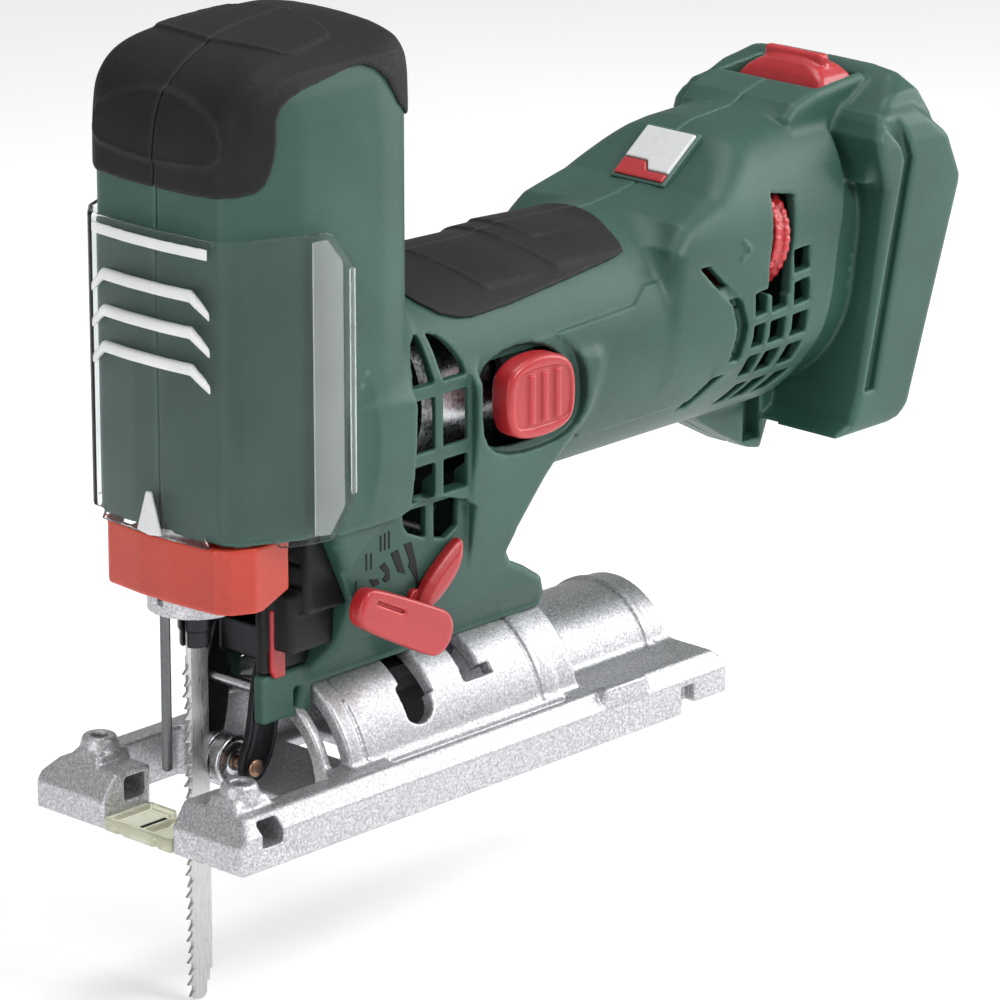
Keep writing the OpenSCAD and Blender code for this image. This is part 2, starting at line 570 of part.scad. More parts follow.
housing_left();
housing_right();
head_cap_left();
head_cap_right();
grip_pad_left();
grip_pad_right();
housing_screws();
gear_case();
upper_bush();
lower_bush();
front_bearing();
rear_bearing();
motor_can();
motor_magnets();
motor_end_cap();
carbon_brushes();
armature();
motor_shaft();
commutator();
cooling_fan();
motor_pinion();
drive_gear();
crank_pin();
gear_axle();
axle_clip();
plunger_rod();
yoke();
blade_clamp();
saw_blade();
release_lever();
guard_rod();
roller_fork();
fork_pin();
guide_roller();
roller_pin();
orbit_link();
orbital_lever();
blower_lever();
power_slider_left();
power_slider_right();
switch_link();
switch_module();
controller();
speed_wheel();
speed_pot();
badge_plate();
clear_shield();
latch_button();
latch_spring();
terminal_block();
battery_contacts();
base_plate();
splinter_insert();
base_clamp_screw();
base_clamp_shoe();
tilt_stop_pin();
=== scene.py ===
import bpy, bmesh, json, math
import numpy as np
from mathutils import Vector, Matrix


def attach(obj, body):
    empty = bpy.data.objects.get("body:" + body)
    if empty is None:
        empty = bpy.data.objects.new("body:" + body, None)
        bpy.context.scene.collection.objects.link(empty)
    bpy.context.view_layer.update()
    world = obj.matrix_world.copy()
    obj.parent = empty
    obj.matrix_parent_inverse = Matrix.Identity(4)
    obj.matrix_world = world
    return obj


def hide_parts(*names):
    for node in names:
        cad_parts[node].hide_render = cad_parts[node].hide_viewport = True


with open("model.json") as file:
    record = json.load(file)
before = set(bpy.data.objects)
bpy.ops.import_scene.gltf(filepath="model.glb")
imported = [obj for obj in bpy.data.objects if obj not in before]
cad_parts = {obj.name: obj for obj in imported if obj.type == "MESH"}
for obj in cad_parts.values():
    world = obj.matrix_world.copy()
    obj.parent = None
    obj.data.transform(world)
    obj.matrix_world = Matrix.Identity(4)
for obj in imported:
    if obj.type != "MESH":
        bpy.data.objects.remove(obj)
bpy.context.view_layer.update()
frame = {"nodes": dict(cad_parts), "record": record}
NODES = frame["nodes"]
F = np.float32

# ---------------------------------------------------------------- camera
LOOK = Vector((0.111994, 0.0, 0.059455))
AZ, EL, DIST = math.radians(-46.899), math.radians(17.722), 1.58171
back = Vector((math.sin(AZ) * math.cos(EL), -math.cos(AZ) * math.cos(EL), math.sin(EL)))
cam = bpy.data.cameras.new("cam")
cam.lens, cam.sensor_width, cam.sensor_fit = 216.0, 36.0, "HORIZONTAL"
cam.clip_start, cam.clip_end = 0.05, 20.0
camo = bpy.data.objects.new("camera", cam)
bpy.context.scene.collection.objects.link(camo)
camo.location = LOOK + back * DIST
camo.rotation_euler = back.to_track_quat("Z", "Y").to_euler()
bpy.context.scene.camera = camo


# ---------------------------------------------------------------- distance-field kit (millimetres)
def chaikin(p, n=2):
    p = np.asarray(p, float)
    for _ in range(n):
        q = np.roll(p, -1, 0)
        a, b = p * 0.75 + q * 0.25, p * 0.25 + q * 0.75
        p = np.stack([a, b], 1).reshape(-1, 2)
    return p


def poly2(U, V, pts):
    """signed distance to a closed polygon on the broadcast grid U, V"""
    P = np.asarray(pts, float)
    U, V = np.broadcast_arrays(U, V)
    shp = U.shape
    u, v = U.ravel().astype(F), V.ravel().astype(F)
    d = np.full(u.shape, 1e9, F)
    s = np.ones(u.shape, bool)
    n = len(P)
    for i in range(n):
        a, b = P[i], P[(i + 1) % n]
        ex, ey = b - a
        L = ex * ex + ey * ey
        if L < 1e-12:
            continue
        wx, wy = u - F(a[0]), v - F(a[1])
        t = np.clip((wx * F(ex) + wy * F(ey)) / F(L), 0, 1)
        dx, dy = wx - F(ex) * t, wy - F(ey) * t
        np.minimum(d, dx * dx + dy * dy, out=d)
        c = (v >= a[1]) != (v >= b[1])
        if abs(ey) > 1e-12:
            c &= u < (v - F(a[1])) * F(ex / ey) + F(a[0])
            s ^= c
    d = np.sqrt(d)
    return np.where(s, d, -d).reshape(shp)


def smax(a, b, k):
    if k <= 0:
        return np.maximum(a, b)
    h = np.maximum(F(k) - np.abs(a - b), 0) / F(k)
    return np.maximum(a, b) + h * h * F(k * 0.25)


def smin(a, b, k):
    if k <= 0:
        return np.minimum(a, b)
    h = np.maximum(F(k) - np.abs(a - b), 0) / F(k)
    return np.minimum(a, b) - h * h * F(k * 0.25)


def rmax(a, b, r):
    """intersection with a true round edge of radius r"""
    if r <= 0:
        return np.maximum(a, b)
    return np.minimum(np.maximum(a, b), -F(r)) + np.sqrt(np.maximum(a + F(r), 0) ** 2 + np.maximum(b + F(r), 0) ** 2)


class Grid:
    def __init__(self, lo, hi, h):
        self.lo, self.h = np.array(lo, float), float(h)
        self.n = [int(math.ceil((hi[i] - lo[i]) / h)) + 1 for i in range(3)]
        self.x = (lo[0] + np.arange(self.n[0]) * h).astype(F)[:, None, None]
        self.y = (lo[1] + np.arange(self.n[1]) * h).astype(F)[None, :, None]
        self.z = (lo[2] + np.arange(self.n[2]) * h).astype(F)[None, None, :]
        self.v = None

    def sub(self, lo, hi):
        """index slices and coordinates of the part of the grid within a box"""
        sl, co = [], []
        for i, c in enumerate((self.x, self.y, self.z)):
            a = max(0, int(math.floor((lo[i] - self.lo[i]) / self.h)))
            b = min(self.n[i], int(math.ceil((hi[i] - self.lo[i]) / self.h)) + 1)
            sl.append(slice(a, b))
            co.append(np.take(c, np.arange(a, b), axis=i))
        return tuple(sl), co

    def within(self, lo, hi, fn):
        sl, (x, y, z) = self.sub(lo, hi)
        if any(s.stop <= s.start for s in sl):
            return
        self.v[sl] = fn(self.v[sl], x, y, z)

    def cut(self, lo, hi, d, k=0.6, pad=3):
        """takes away the solid that d(x, y, z) gives, with an edge softened by k"""
        lo, hi = np.array(lo) - pad, np.array(hi) + pad
        self.within(lo, hi, lambda v, x, y, z: smax(v, -d(x, y, z), k))

    def add(self, lo, hi, d, k=0.6, pad=4):
        lo, hi = np.array(lo) - pad, np.array(hi) + pad
        self.within(lo, hi, lambda v, x, y, z: smin(v, d(x, y, z), k))


def dbox(x, y, z, lo, hi, r=0.0):
    c = [(lo[i] + hi[i]) / 2 for i in range(3)]
    e = [(hi[i] - lo[i]) / 2 - r for i in range(3)]
    qx, qy, qz = np.abs(x - F(c[0])) - F(e[0]), np.abs(y - F(c[1])) - F(e[1]), np.abs(z - F(c[2])) - F(e[2])
    o = np.sqrt(np.maximum(qx, 0) ** 2 + np.maximum(qy, 0) ** 2 + np.maximum(qz, 0) ** 2)
    return o + np.minimum(np.maximum(np.maximum(qx, qy), qz), 0) - F(r)


def dcyl(u, v, w, c, r, w0, w1, e=0.0):
    """cylinder along w from w0 to w1, centred at c in the u, v plane, edges rounded by e"""
    a = np.sqrt((u - F(c[0])) ** 2 + (v - F(c[1])) ** 2) - F(r)
    b = np.maximum(F(w0) - w, w - F(w1))
    return rmax(a, b, e) if e > 0 else np.maximum(a, b)


def slab(d2, w, w0, w1, e=0.0):
    b = np.maximum(F(w0) - w, w - F(w1))
    return rmax(d2, b, e) if e > 0 else np.maximum(d2, b)


def nets(g, name, attrs=None):
    """surface nets: the zero level of the grid as a quad mesh, in metres"""
    v = g.v
    v = np.pad(v, 1, constant_values=F(5.0))
    lo = g.lo - g.h
    s = v < 0
    nx, ny, nz = v.shape
    c = [s[:-1, :-1, :-1], s[1:, :-1, :-1], s[:-1, 1:, :-1], s[1:, 1:, :-1],
         s[:-1, :-1, 1:], s[1:, :-1, 1:], s[:-1, 1:, 1:], s[1:, 1:, 1:]]
    anyc, allc = c[0].copy(), c[0].copy()
    for q in c[1:]:
        anyc |= q
        allc &= q
    act = anyc & ~allc
    idx = np.argwhere(act)
    vid = np.full(act.shape, -1, np.int32)
    vid[act] = np.arange(len(idx), dtype=np.int32)
    off = np.array([[0, 0, 0], [1, 0, 0], [0, 1, 0], [1, 1, 0], [0, 0, 1], [1, 0, 1], [0, 1, 1], [1, 1, 1]])
    I, J, K = idx[:, 0], idx[:, 1], idx[:, 2]
    val = np.stack([v[I + o[0], J + o[1], K + o[2]] for o in off], 1)
    acc = np.zeros((len(idx), 3), np.float64)
    cnt = np.zeros(len(idx), np.float64)
    for a, b in ((0, 1), (2, 3), (4, 5), (6, 7), (0, 2), (1, 3), (4, 6), (5, 7), (0, 4), (1, 5), (2, 6), (3, 7)):
        va, vb = val[:, a], val[:, b]
        m = (va < 0) != (vb < 0)
        t = np.where(m, va / np.where(m, va - vb, 1), 0)
        p = off[a] + (off[b] - off[a]) * t[:, None]
        acc += p * m[:, None]
        cnt += m
    pos = (idx + acc / cnt[:, None]) * g.h + lo
    quads = []
    for ax in range(3):
        A = [slice(1, -1)] * 3
        A[ax] = slice(0, -1)
        B = [slice(1, -1)] * 3
        B[ax] = slice(1, None)
        sa, sb = s[tuple(A)], s[tuple(B)]
        e = np.argwhere(sa != sb)
        flip = sa[tuple(e.T)]
        e = e + np.array([1 if i != ax else 0 for i in range(3)])
        u, w = (ax + 1) % 3, (ax + 2) % 3
        du, dw = np.zeros(3, int), np.zeros(3, int)
        du[u] = 1
        dw[w] = 1
        q = np.stack([vid[tuple((e - du - dw).T)], vid[tuple((e - dw).T)], vid[tuple(e.T)], vid[tuple((e - du).T)]], 1)
        q[~flip] = q[~flip][:, ::-1]
        quads.append(q)
    quads = np.concatenate(quads)
    quads = quads[(quads >= 0).all(1)]
    return raw_mesh(name, pos * 1e-3, quads)


def raw_mesh(name, pos, quads):
    me = bpy.data.meshes.new(name)
    me.vertices.add(len(pos))
    me.vertices.foreach_set("co", np.asarray(pos, F).ravel())
    n = len(quads)
    me.loops.add(n * 4)
    me.loops.foreach_set("vertex_index", np.asarray(quads, np.int32).ravel())
    me.polygons.add(n)
    me.polygons.foreach_set("loop_start", np.arange(0, n * 4, 4, dtype=np.int32))
    me.polygons.foreach_set("use_smooth", np.ones(n, bool))
    me.update(calc_edges=True)
    me.validate()
    return me


def mesh_obj(name, me, mat, body, repl=()):
    ob = bpy.data.objects.new(name, me)
    bpy.context.scene.collection.objects.link(ob)
    if mat is not None:
        ob.data.materials.clear()
        ob.data.materials.append(mat)
    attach(ob, body)
    if repl:
        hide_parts(*repl)
    return ob


# ---------------------------------------------------------------- housing
def both(p):
    return list(p) + [(a, -b) for a, b in reversed(p)]


def mirx(p):
    return list(p) + [(-a, b) for a, b in reversed(p)]


HEAD_PLAN = both([(-12.5, 0.01), (-12.5, 6), (-11.2, 20.4), (-10.0, 22.2), (-6.5, 25.6), (6.6, 31.4), (9.5, 32.2), (20, 32.9), (34, 32.9),
                  (37, 32.5), (43, 30.8), (46, 29.4), (50, 25.4), (52, 22.2), (53.6, 17.5), (54.4, 8), (54.4, 0.01)])
HEAD_SIDE = [(-12.4, 56), (-12.4, 58), (-12.4, 165), (-11.8, 174), (-10.8, 181), (-8.2, 189), (-4.3, 193.8), (1.7, 197.9), (8.6, 200.9),
             (20, 203.6), (30, 205.0), (37, 205.4), (43, 204.6), (48, 202.4), (52, 198.2), (54.2, 191), (54.5, 180), (54.5, 58), (54.5, 56)]
HEAD_FRONT = mirx([(37, 60), (37, 120), (37, 170), (35.4, 178), (33.2, 186), (31, 192), (28, 197), (23.5, 200.4), (16, 203.3), (8, 205.0), (0.01, 205.6)])
NECK_SIDE = [(20.2, 26), (27, 45), (28, 58), (18.8, 78), (18.5, 84), (20.5, 92), (20.5, 108), (112, 104), (108, 92), (96, 76), (88, 64), (85.5, 58), (88, 54.5),
             (95, 51), (104, 45.5), (112.6, 37.5), (113.4, 32), (113.4, 22)]
NECK_END = mirx([(14.8, 20), (14.8, 35.2), (19.8, 41), (24.2, 46), (27.2, 54), (29.6, 63), (31.6, 75), (32.6, 88), (32.6, 110), (0.01, 110)])
HUMP_SIDE = [(140, 90), (146, 126), (152, 131.5), (159, 133.6), (166.5, 135.9), (174, 141), (182, 147.2), (188, 149.4), (202, 150.8),
             (216, 151.8), (226, 152.6), (232, 152.6), (232, 90)]
SHOE_SIDE = [(204, 62.4), (228, 62.4), (232, 63.2), (235.4, 67), (255.6, 125.5), (255.8, 128), (250.6, 139.5), (249, 141.4), (243, 146.5), (240, 148.6), (226, 148.6),
             (221.5, 143), (221.5, 139), (224.4, 128), (219.6, 99), (214.2, 74), (211, 66)]
EAR_RIB = [(221, 147), (229.5, 140), (231.6, 135.6), (216.6, 75), (213, 70), (216, 84), (219.8, 99), (224.6, 128)]
EAR_GROOVE = [(231.4, 147.5), (235.2, 136), (220.6, 74), (216.6, 74), (231.8, 136), (229.8, 140.6), (225, 146.5)]


def outer(x, y, z):
    """outside of the clamshell, without openings"""
    ay = np.abs(y)
    plan = poly2(x[:, :, 0], y[:, :, 0], chaikin(HEAD_PLAN, 2))[:, :, None] if True else 0
    side = poly2(x[:, 0, :], z[0, 0, :][None, :], chaikin(HEAD_SIDE, 2))[:, None, :]
    front = poly2(y[0, :, 0][:, None], z[0, 0, :][None, :], HEAD_FRONT)[None, :, :]
    head = smax(smax(plan, front, 7), side, 5)
    head = np.maximum(head, 80.3 - z)
    neck = smax(poly2(x[:, 0, :], z[0, 0, :][None, :], NECK_SIDE)[:, None, :],
                poly2(y[0, :, 0][:, None], z[0, 0, :][None, :], NECK_END)[None, :, :], 2.5)
    bar = np.sqrt(ay * ay + (z - F(101)) ** 2) - F(32.6)
    endp = ((x - F(200)) - (z - F(76.5)) * F(0.288)) * F(0.961)
    bar = np.maximum(bar, F(34) - x)
    st = np.sqrt(ay * ay + np.maximum(z - F(120), 0) ** 2 + np.minimum(z - F(101), 0) ** 2) - F(32.2)
    hump = smax(st, poly2(x[:, 0, :], z[0, 0, :][None, :], HUMP_SIDE)[:, None, :], 5)
    body = smin(bar, hump, 5)
    body = smax(body, np.broadcast_to(endp, body.shape), 1.6)
    core = np.sqrt(ay * ay + np.maximum(z - F(116), 0) ** 2 + np.minimum(z - F(101), 0) ** 2) - F(29.0)
    core = np.maximum(np.maximum(core, F(186) - x), x - F(228))
    d = smin(neck, body, 9)
    d = smin(d, head, 5)
    d = np.minimum(d, core)
    # shoe
    sside = poly2(x[:, 0, :], z[0, 0, :][None, :], SHOE_SIDE)[:, None, :]
    send = poly2(y[0, :, 0][:, None], z[0, 0, :][None, :], mirx([(36.8, 62), (37.9, 66), (37.9, 140), (36.5, 145), (33.5, 150), (0.01, 152)]))[None, :, :]
    shoe = smax(sside, send, 2.2)
    rib = poly2(x[:, 0, :], z[0, 0, :][None, :], EAR_RIB)[:, None, :]
    gr = poly2(x[:, 0, :], z[0, 0, :][None, :], EAR_GROOVE)[:, None, :]
    shoe = smax(shoe, -smax(gr, F(35.0) - ay, 1.0), 1.2)
    crown = smax(poly2(x[:, 0, :], z[0, 0, :][None, :], [(221, 130), (224.5, 146), (231, 151), (238, 155), (240.5, 157.6), (243.5, 157.6), (248, 145), (252, 134)])[:, None, :],
                 poly2(y[0, :, 0][:, None], z[0, 0, :][None, :], mirx([(33.8, 118), (33.8, 146), (31, 152.5), (25, 156.4), (16, 158), (0.01, 158.4)]))[None, :, :], 2.4)
    shoe = smin(shoe, crown, 2.0)
    d = smin(d, shoe, 1.0)
    # lug under the rear
    lug = smax(poly2(x[:, 0, :], z[0, 0, :][None, :], [(172, 78), (177, 71.5), (184, 66), (192, 61), (203, 55), (207.3, 53.9), (211.5, 64), (213, 78)])[:, None, :], ay - F(9), 2.0)
    d = smin(d, lug, 1.2)
    # collar under the latch button
    col = smax(poly2(x[:, 0, :], z[0, 0, :][None, :], [(204, 149), (208, 152.4), (216, 154.6), (226, 155.6), (236, 156.4), (240, 150), (240, 140), (204, 140)])[:, None, :],
               ay - F(19.5), 3.0)
    d = smin(d, col, 2.0)
    return d


def inner(x, y, z):
    """hollow of the clamshell"""
    ay = np.abs(y)
    k = 0.92
    p = lambda pts, c: [(c[0] + (a - c[0]) * k, c[1] + (b - c[1]) * (k if c[1] else k)) for a, b in pts]
    plan = poly2(x[:, :, 0], y[:, :, 0], p(HEAD_PLAN, (21, 0)))[:, :, None]
    side = poly2(x[:, 0, :], z[0, 0, :][None, :], [(-9.8, 85), (-9.8, 165), (-8, 180), (-5.4, 188), (3, 195), (10, 198), (22, 200.8), (38, 202.6), (46, 200), (51.5, 190), (51.8, 85)])[:, None, :]
    fr = poly2(y[0, :, 0][:, None], z[0, 0, :][None, :], mirx([(30.2, 84), (30.2, 180), (28.6, 190), (22, 197.6), (8, 202), (0.01, 203)]))[None, :, :]
    d = np.maximum(np.maximum(plan, side), fr)
    bar = np.sqrt(ay * ay + (z - F(101)) ** 2) - F(30)
    d = np.minimum(d, np.maximum(np.maximum(bar, F(30) - x), x - F(214)))
    st = np.sqrt(ay * ay + np.maximum(z - F(119), 0) ** 2 + np.minimum(z - F(101), 0) ** 2) - F(29)
    hs = poly2(x[:, 0, :], z[0, 0, :][None, :], [(150, 95), (150, 128), (166, 132.6), (182, 144), (204, 147.6), (221, 148), (221, 95)])[:, None, :]
    # ends before the barrel's rear face; a narrower hollow runs on inside the drum behind it
    endi = ((x - F(200)) - (z - F(76.5)) * F(0.288)) * F(0.961) + F(2.2)
    d = np.maximum(np.minimum(d, np.maximum(st, hs)), np.broadcast_to(endi, d.shape))
    dr = np.sqrt(ay * ay + np.maximum(z - F(116), 0) ** 2 + np.minimum(z - F(101), 0) ** 2) - F(25.6)
    d = np.minimum(d, np.maximum(np.maximum(dr, F(186) - x), x - F(217)))
    ns = poly2(x[:, 0, :], z[0, 0, :][None, :], [(30, 41.5), (70, 41.5), (70, 50), (84, 50), (84, 58), (89, 68), (108, 88), (108, 98), (23, 98), (23, 84.5), (30.5, 70), (30.5, 58)])[:, None, :]
    ne = poly2(y[0, :, 0][:, None], z[0, 0, :][None, :], mirx([(12, 38), (16.6, 43), (20.8, 48.6), (25.2, 62), (26.2, 84), (29.8, 86.5), (30, 102), (0.01, 102)]))[None, :, :]
    return np.minimum(d, np.maximum(ns, ne))


def pane(y, s, y0, y1):
    """slab between |y| = y0 and y1 on side s"""
    return np.maximum(F(y0) - F(s) * y, F(s) * y - F(y1))


def housing(s, h):
    """one half; s is -1 for the left"""
    ylo, yhi = (-41, 1.0) if s < 0 else (-1.0, 41)
    g = Grid((-16, ylo, 19), (260, yhi, 209), h)
    x, y, z = g.x, g.y, g.z
    X2, Z2 = x[:, :, 0], z[0, :, :]
    d = outer(x, y, z)
    # inner leg beside the roller fork
    leg = dbox(x, y, z, (9.6, -14.5, 26.6), (30, 14.5, 39.4), 1.0)
    leg = np.maximum(leg, -dbox(x, y, z, (20.5, -60, 20), (26.5, 60, 34), 0.5))
    d = smin(d, leg, 1.0)
    g.v = d
    XZ = lambda pts: poly2(x[:, 0, :], z[0, 0, :][None, :], pts)[:, None, :]

    def sub2(pts, d3, k, y0=10, y1=45, pad=3, chk=0):
        """cut or add a side-view outline on this half between |y| = y0 and y1; d3 'cut' or 'add'"""
        P = chaikin(pts, chk) if chk else np.asarray(pts, float)
        lo, hi = P.min(0), P.max(0)
        a, b = (y0, y1) if s > 0 else (-y1, -y0)
        f = lambda X, Y, Z: np.maximum(poly2(X[:, 0, :], Z[0, 0, :][None, :], P)[:, None, :], pane(Y, s, y0, y1))
        (g.cut if d3 == "cut" else g.add)((lo[0], a, lo[1]), (hi[0], b, hi[1]), f, k, pad)

    # raised name panel with a groove behind it, on the barrel
    def rad(Y, Z):
        return np.sqrt(Y * Y + (Z - F(101)) ** 2)

    def barrel_band(pts, r0, r1, mode, k=0.5):
        P = np.asarray(pts, float)
        lo, hi = P.min(0), P.max(0)
        a, b = (14, 36) if s > 0 else (-36, -14)
        f = lambda X, Y, Z: np.maximum(np.maximum(poly2(X[:, 0, :], Z[0, 0, :][None, :], P)[:, None, :], np.maximum(F(r0) - rad(Y, Z), rad(Y, Z) - F(r1))), pane(Y, s, 8, 40))
        (g.cut if mode == "cut" else g.add)((lo[0], a, lo[1]), (hi[0], b, hi[1]), f, k, 4)

    barrel_band([(92, 113.4), (131, 114.6), (137, 118.4), (156, 118.4), (167, 107), (168.4, 101), (167, 94), (155, 83), (150, 82.4), (112, 82.4), (107, 88), (104, 98)], 32, 33.3, "add", 0.5)
    barrel_band([(155, 119.8), (158.6, 119.8), (170.8, 108), (173.0, 101), (171.0, 92.6), (157.4, 80.2), (153, 80.2), (166.4, 92.8), (168.4, 101), (166.6, 108)], 30.6, 40, "cut", 0.5)
    for zc in (111.2, 90.4):
        barrel_band([(160.5, zc - 1.7), (160.5, zc + 1.7), (169.5, zc + 1.7), (169.5, zc - 1.7)], 30, 33.8, "add", 0.5)
    # slider recess
    rec = [(69.0, 96), (69.4, 108.5), (73, 113.6), (82, 116.8), (92, 116.4), (102, 112.4), (108, 106), (109, 93), (105, 87.6), (96, 85.4), (82, 85.6), (73, 89)]
    sub2(rec, "cut", 1.4, 31.0, 45, chk=1)
    sub2([(69.8, 95), (70.4, 106.5), (73.6, 111.2), (84, 113.4), (93, 112.8), (101, 109), (104.6, 104), (105.2, 94), (102, 89.4), (94, 87.6), (79, 87.8), (73, 90.2)], "cut", 0.8, 28.6, 45, chk=1)
    sub2([(73, 97), (73, 105), (97, 105), (97, 97)], "cut", 0.3, 20, 45)
    # head ventilation: a tapered field with one upright and three cross bars
    field = [(45.8, 75), (49, 70.6), (66.2, 66), (66.6, 80), (66.6, 112), (64, 117.6), (60, 121.4), (51, 121.8), (47, 116), (45.8, 100)]
    P = np.asarray(field)

    def vents(X, Y, Z):
        f = poly2(X[:, 0, :], Z[0, 0, :][None, :], chaikin(field, 1))
        xx, zz = X[:, 0, :], Z[0, 0, :][None, :]
        bars = np.minimum(np.abs(xx - F(56.2) + (zz - 100) * F(0.0)) - F(1.5), 99)
        for zb in (79.0, 91.4, 108.6):
            bars = np.minimum(bars, np.abs(zz - F(zb)) - F(1.7))
        f = np.maximum(f, -bars)
        return np.maximum(f[:, None, :], pane(Y, s, 22, 45))
    a, b = (22, 45) if s > 0 else (-45, -22)
    # recess first, then holes through
    g.cut((44, a, 64), (69, b, 124), lambda X, Y, Z: np.maximum(poly2(X[:, 0, :], Z[0, 0, :][None, :], chaikin(field, 1))[:, None, :] - F(0.9), pane(Y, s, 31.6, 45)), 0.8)
    g.cut((44, a, 64), (69, b, 124), vents, 0.4)
    # rear grid
    def grid(X, Y, Z):
        xx, zz = X[:, 0, :], Z[0, 0, :][None, :]
        out = None
        for j in range(5):
            zc = 114.6 - 8.6 * j
            for i in range(3):
                if j == 0 and i == 0:
                    continue
                xc = 177.6 + 9.0 * i - 0.9 * j + (1.5 if i == 0 else 0)
                hw, hh = (3.2 if i else 2.4), (3.0 if j < 4 else 2.6)
                lean = 0.10 if j < 4 else 0.9
                q = np.maximum(np.abs(xx - F(xc) - (zz - F(zc)) * F(lean)) - F(hw), np.abs(zz - F(zc) - (xx - F(xc)) * F(0.06)) - F(hh))
                out = q if out is None else np.minimum(out, q)
        return np.maximum(out[:, None, :], pane(Y, s, 18, 45))
    g.cut((168, a + 4 if s < 0 else 18, 76), (206, b if s > 0 else -18, 120), grid, 0.4)
    # left half only: speed wheel slot, arrow mark, lever pivots with the dial field, and a recess on the lug
    if s < 0:
        # speed wheel slot
        t = math.radians(11.5)
        c, sn = math.cos(t), math.sin(t)

        def slot(X, Y, Z):
            dx, dz = X - F(188), Z - F(120)
            u, w = dx * F(c) - dz * F(sn), dx * F(sn) + dz * F(c)
            return np.maximum(np.maximum(np.abs(u) - F(4.4), np.abs(w) - F(13.2)) , pane(Y, s, 10, 45))
        g.cut((178, -42, 104), (198, -10, 136), slot, 0.5)
        # arrow mark
        sub2([(171.2, 118.6), (175.2, 121.6), (172.4, 124.4), (171.6, 123.7), (173.9, 121.5), (170.7, 119.3)], "add", 0.3, 20, 32.9, pad=2)
        # lever pivots, flat dial field behind the levers
        g.cut((15, -40, 40), (70, -28, 84), lambda X, Y, Z: np.maximum(dcyl(X, Z, Y, (51, 46.2), 34, -60, -28.2), dbox(X, Y, Z, (15, -60, 40), (70, -28, 84))), 0.8)
        g.cut((44, -36, 39), (58, -24, 54), lambda X, Y, Z: dcyl(X, Z, Y, (51, 46.2), 6.9, -60, -25.2), 0.6)
        g.cut((46, -40, 50), (54, -22, 59), lambda X, Y, Z: dcyl(X, Z, Y, (50, 54.5), 3.4, -60, -27.6), 0.5)
        # recess on the lug
        g.cut((197, -12, 55), (208, -3, 67), lambda X, Y, Z: dbox(X, Y, Z, (199.5, -20, 57.5), (206.6, -3, 70), 0.6), 0.5)
    # hollow
    k = inner(x, y, z)
    g.v = smax(g.v, -k, 0.4)
    # saddle relief, fork pocket, nose hole
    rel = np.maximum(np.sqrt(y * y + (z - F(8)) ** 2) - F(29.3), F(26.3) - x)
    g.v = smax(g.v, -np.broadcast_to(rel, g.v.shape), 0.8)
    g.cut((4, -11, 20), (27, 11, 58), lambda X, Y, Z: dbox(X, Y, Z, (0, -10.8, 15), (26, 10.8, 57.6), 0.3), 0.4)
    g.cut((4, -12, 57), (31, 12, 84), lambda X, Y, Z: dbox(X, Y, Z, (0, -12, 57), (30.8, 12, 83), 0.3), 0.4)
    g.cut((-13, -13, 78), (13, 13, 90), lambda X, Y, Z: np.maximum(dcyl(X, Y, Z, (0, 0), 12.9, 60, 90), F(-10.4) - X), 0.6)
    # latch button well
    g.cut((222, -17, 140), (239, 17, 165), lambda X, Y, Z: dbox(X, Y, Z, (206.6, -16.9, 149.6), (238.0, 16.9, 175), 2.0), 0.6)
    # battery pocket
    def pocket(X, Y, Z):
        p = poly2(X[:, 0, :], Z[0, 0, :][None, :], [(220, 50), (223.5, 66), (243.6, 127), (246, 138), (285, 138), (285, 50)])[:, None, :]
        p = np.maximum(p, np.abs(Y) - F(33.6))
        r = np.maximum(poly2(X[:, 0, :], Z[0, 0, :][None, :], [(231.5, 50), (235.2, 66), (256, 127), (252.6, 127), (232, 66), (228, 50)])[:, None, :], F(28.8) - np.abs(Y))
        return np.maximum(p, -r)
    g.cut((219, -34, 50), (262, 34, 139), pocket, 0.6)
    # seam between the halves, as a fine step
    half = (y + F(0.12)) if s < 0 else (F(0.12) - y)
    g.v = smax(g.v, np.broadcast_to(half, g.v.shape), 0.5)
    return nets(g, "shell_left" if s < 0 else "shell_right")


# ---------------------------------------------------------------- materials
def new_mat(name):
    m = bpy.data.materials.new(name)
    m.use_nodes = True
    nt = m.node_tree
    nt.nodes.clear()
    out = nt.nodes.new("ShaderNodeOutputMaterial")
    bs = nt.nodes.new("ShaderNodeBsdfPrincipled")
    nt.links.new(bs.outputs[0], out.inputs[0])
    return m, nt, bs


def coords(nt, scale=(1, 1, 1)):
    tc = nt.nodes.new("ShaderNodeTexCoord")
    mp = nt.nodes.new("ShaderNodeMapping")
    mp.inputs["Scale"].default_value = scale
    nt.links.new(tc.outputs["Object"], mp.inputs["Vector"])
    return mp.outputs["Vector"]


def noise(nt, vec, scale, detail=2.0, rough=0.5):
    n = nt.nodes.new("ShaderNodeTexNoise")
    n.inputs["Scale"].default_value = scale
    n.inputs["Detail"].default_value = detail
    n.inputs["Roughness"].default_value = rough
    nt.links.new(vec, n.inputs["Vector"])
    return n.outputs["Fac"]


def ramp(nt, fac, stops):
    r = nt.nodes.new("ShaderNodeValToRGB")
    while len(r.color_ramp.elements) < len(stops):
        r.color_ramp.elements.new(0.5)
    for e, (p, c) in zip(r.color_ramp.elements, stops):
        e.position = p
        e.color = (c[0], c[1], c[2], 1)
    nt.links.new(fac, r.inputs["Fac"])
    return r.outputs["Color"]


def vmap(nt, fac, a, b, lo=0.0, hi=1.0):
    m = nt.nodes.new("ShaderNodeMapRange")
    m.inputs["From Min"].default_value, m.inputs["From Max"].default_value = lo, hi
    m.inputs["To Min"].default_value, m.inputs["To Max"].default_value = a, b
    nt.links.new(fac, m.inputs["Value"])
    return m.outputs["Result"]


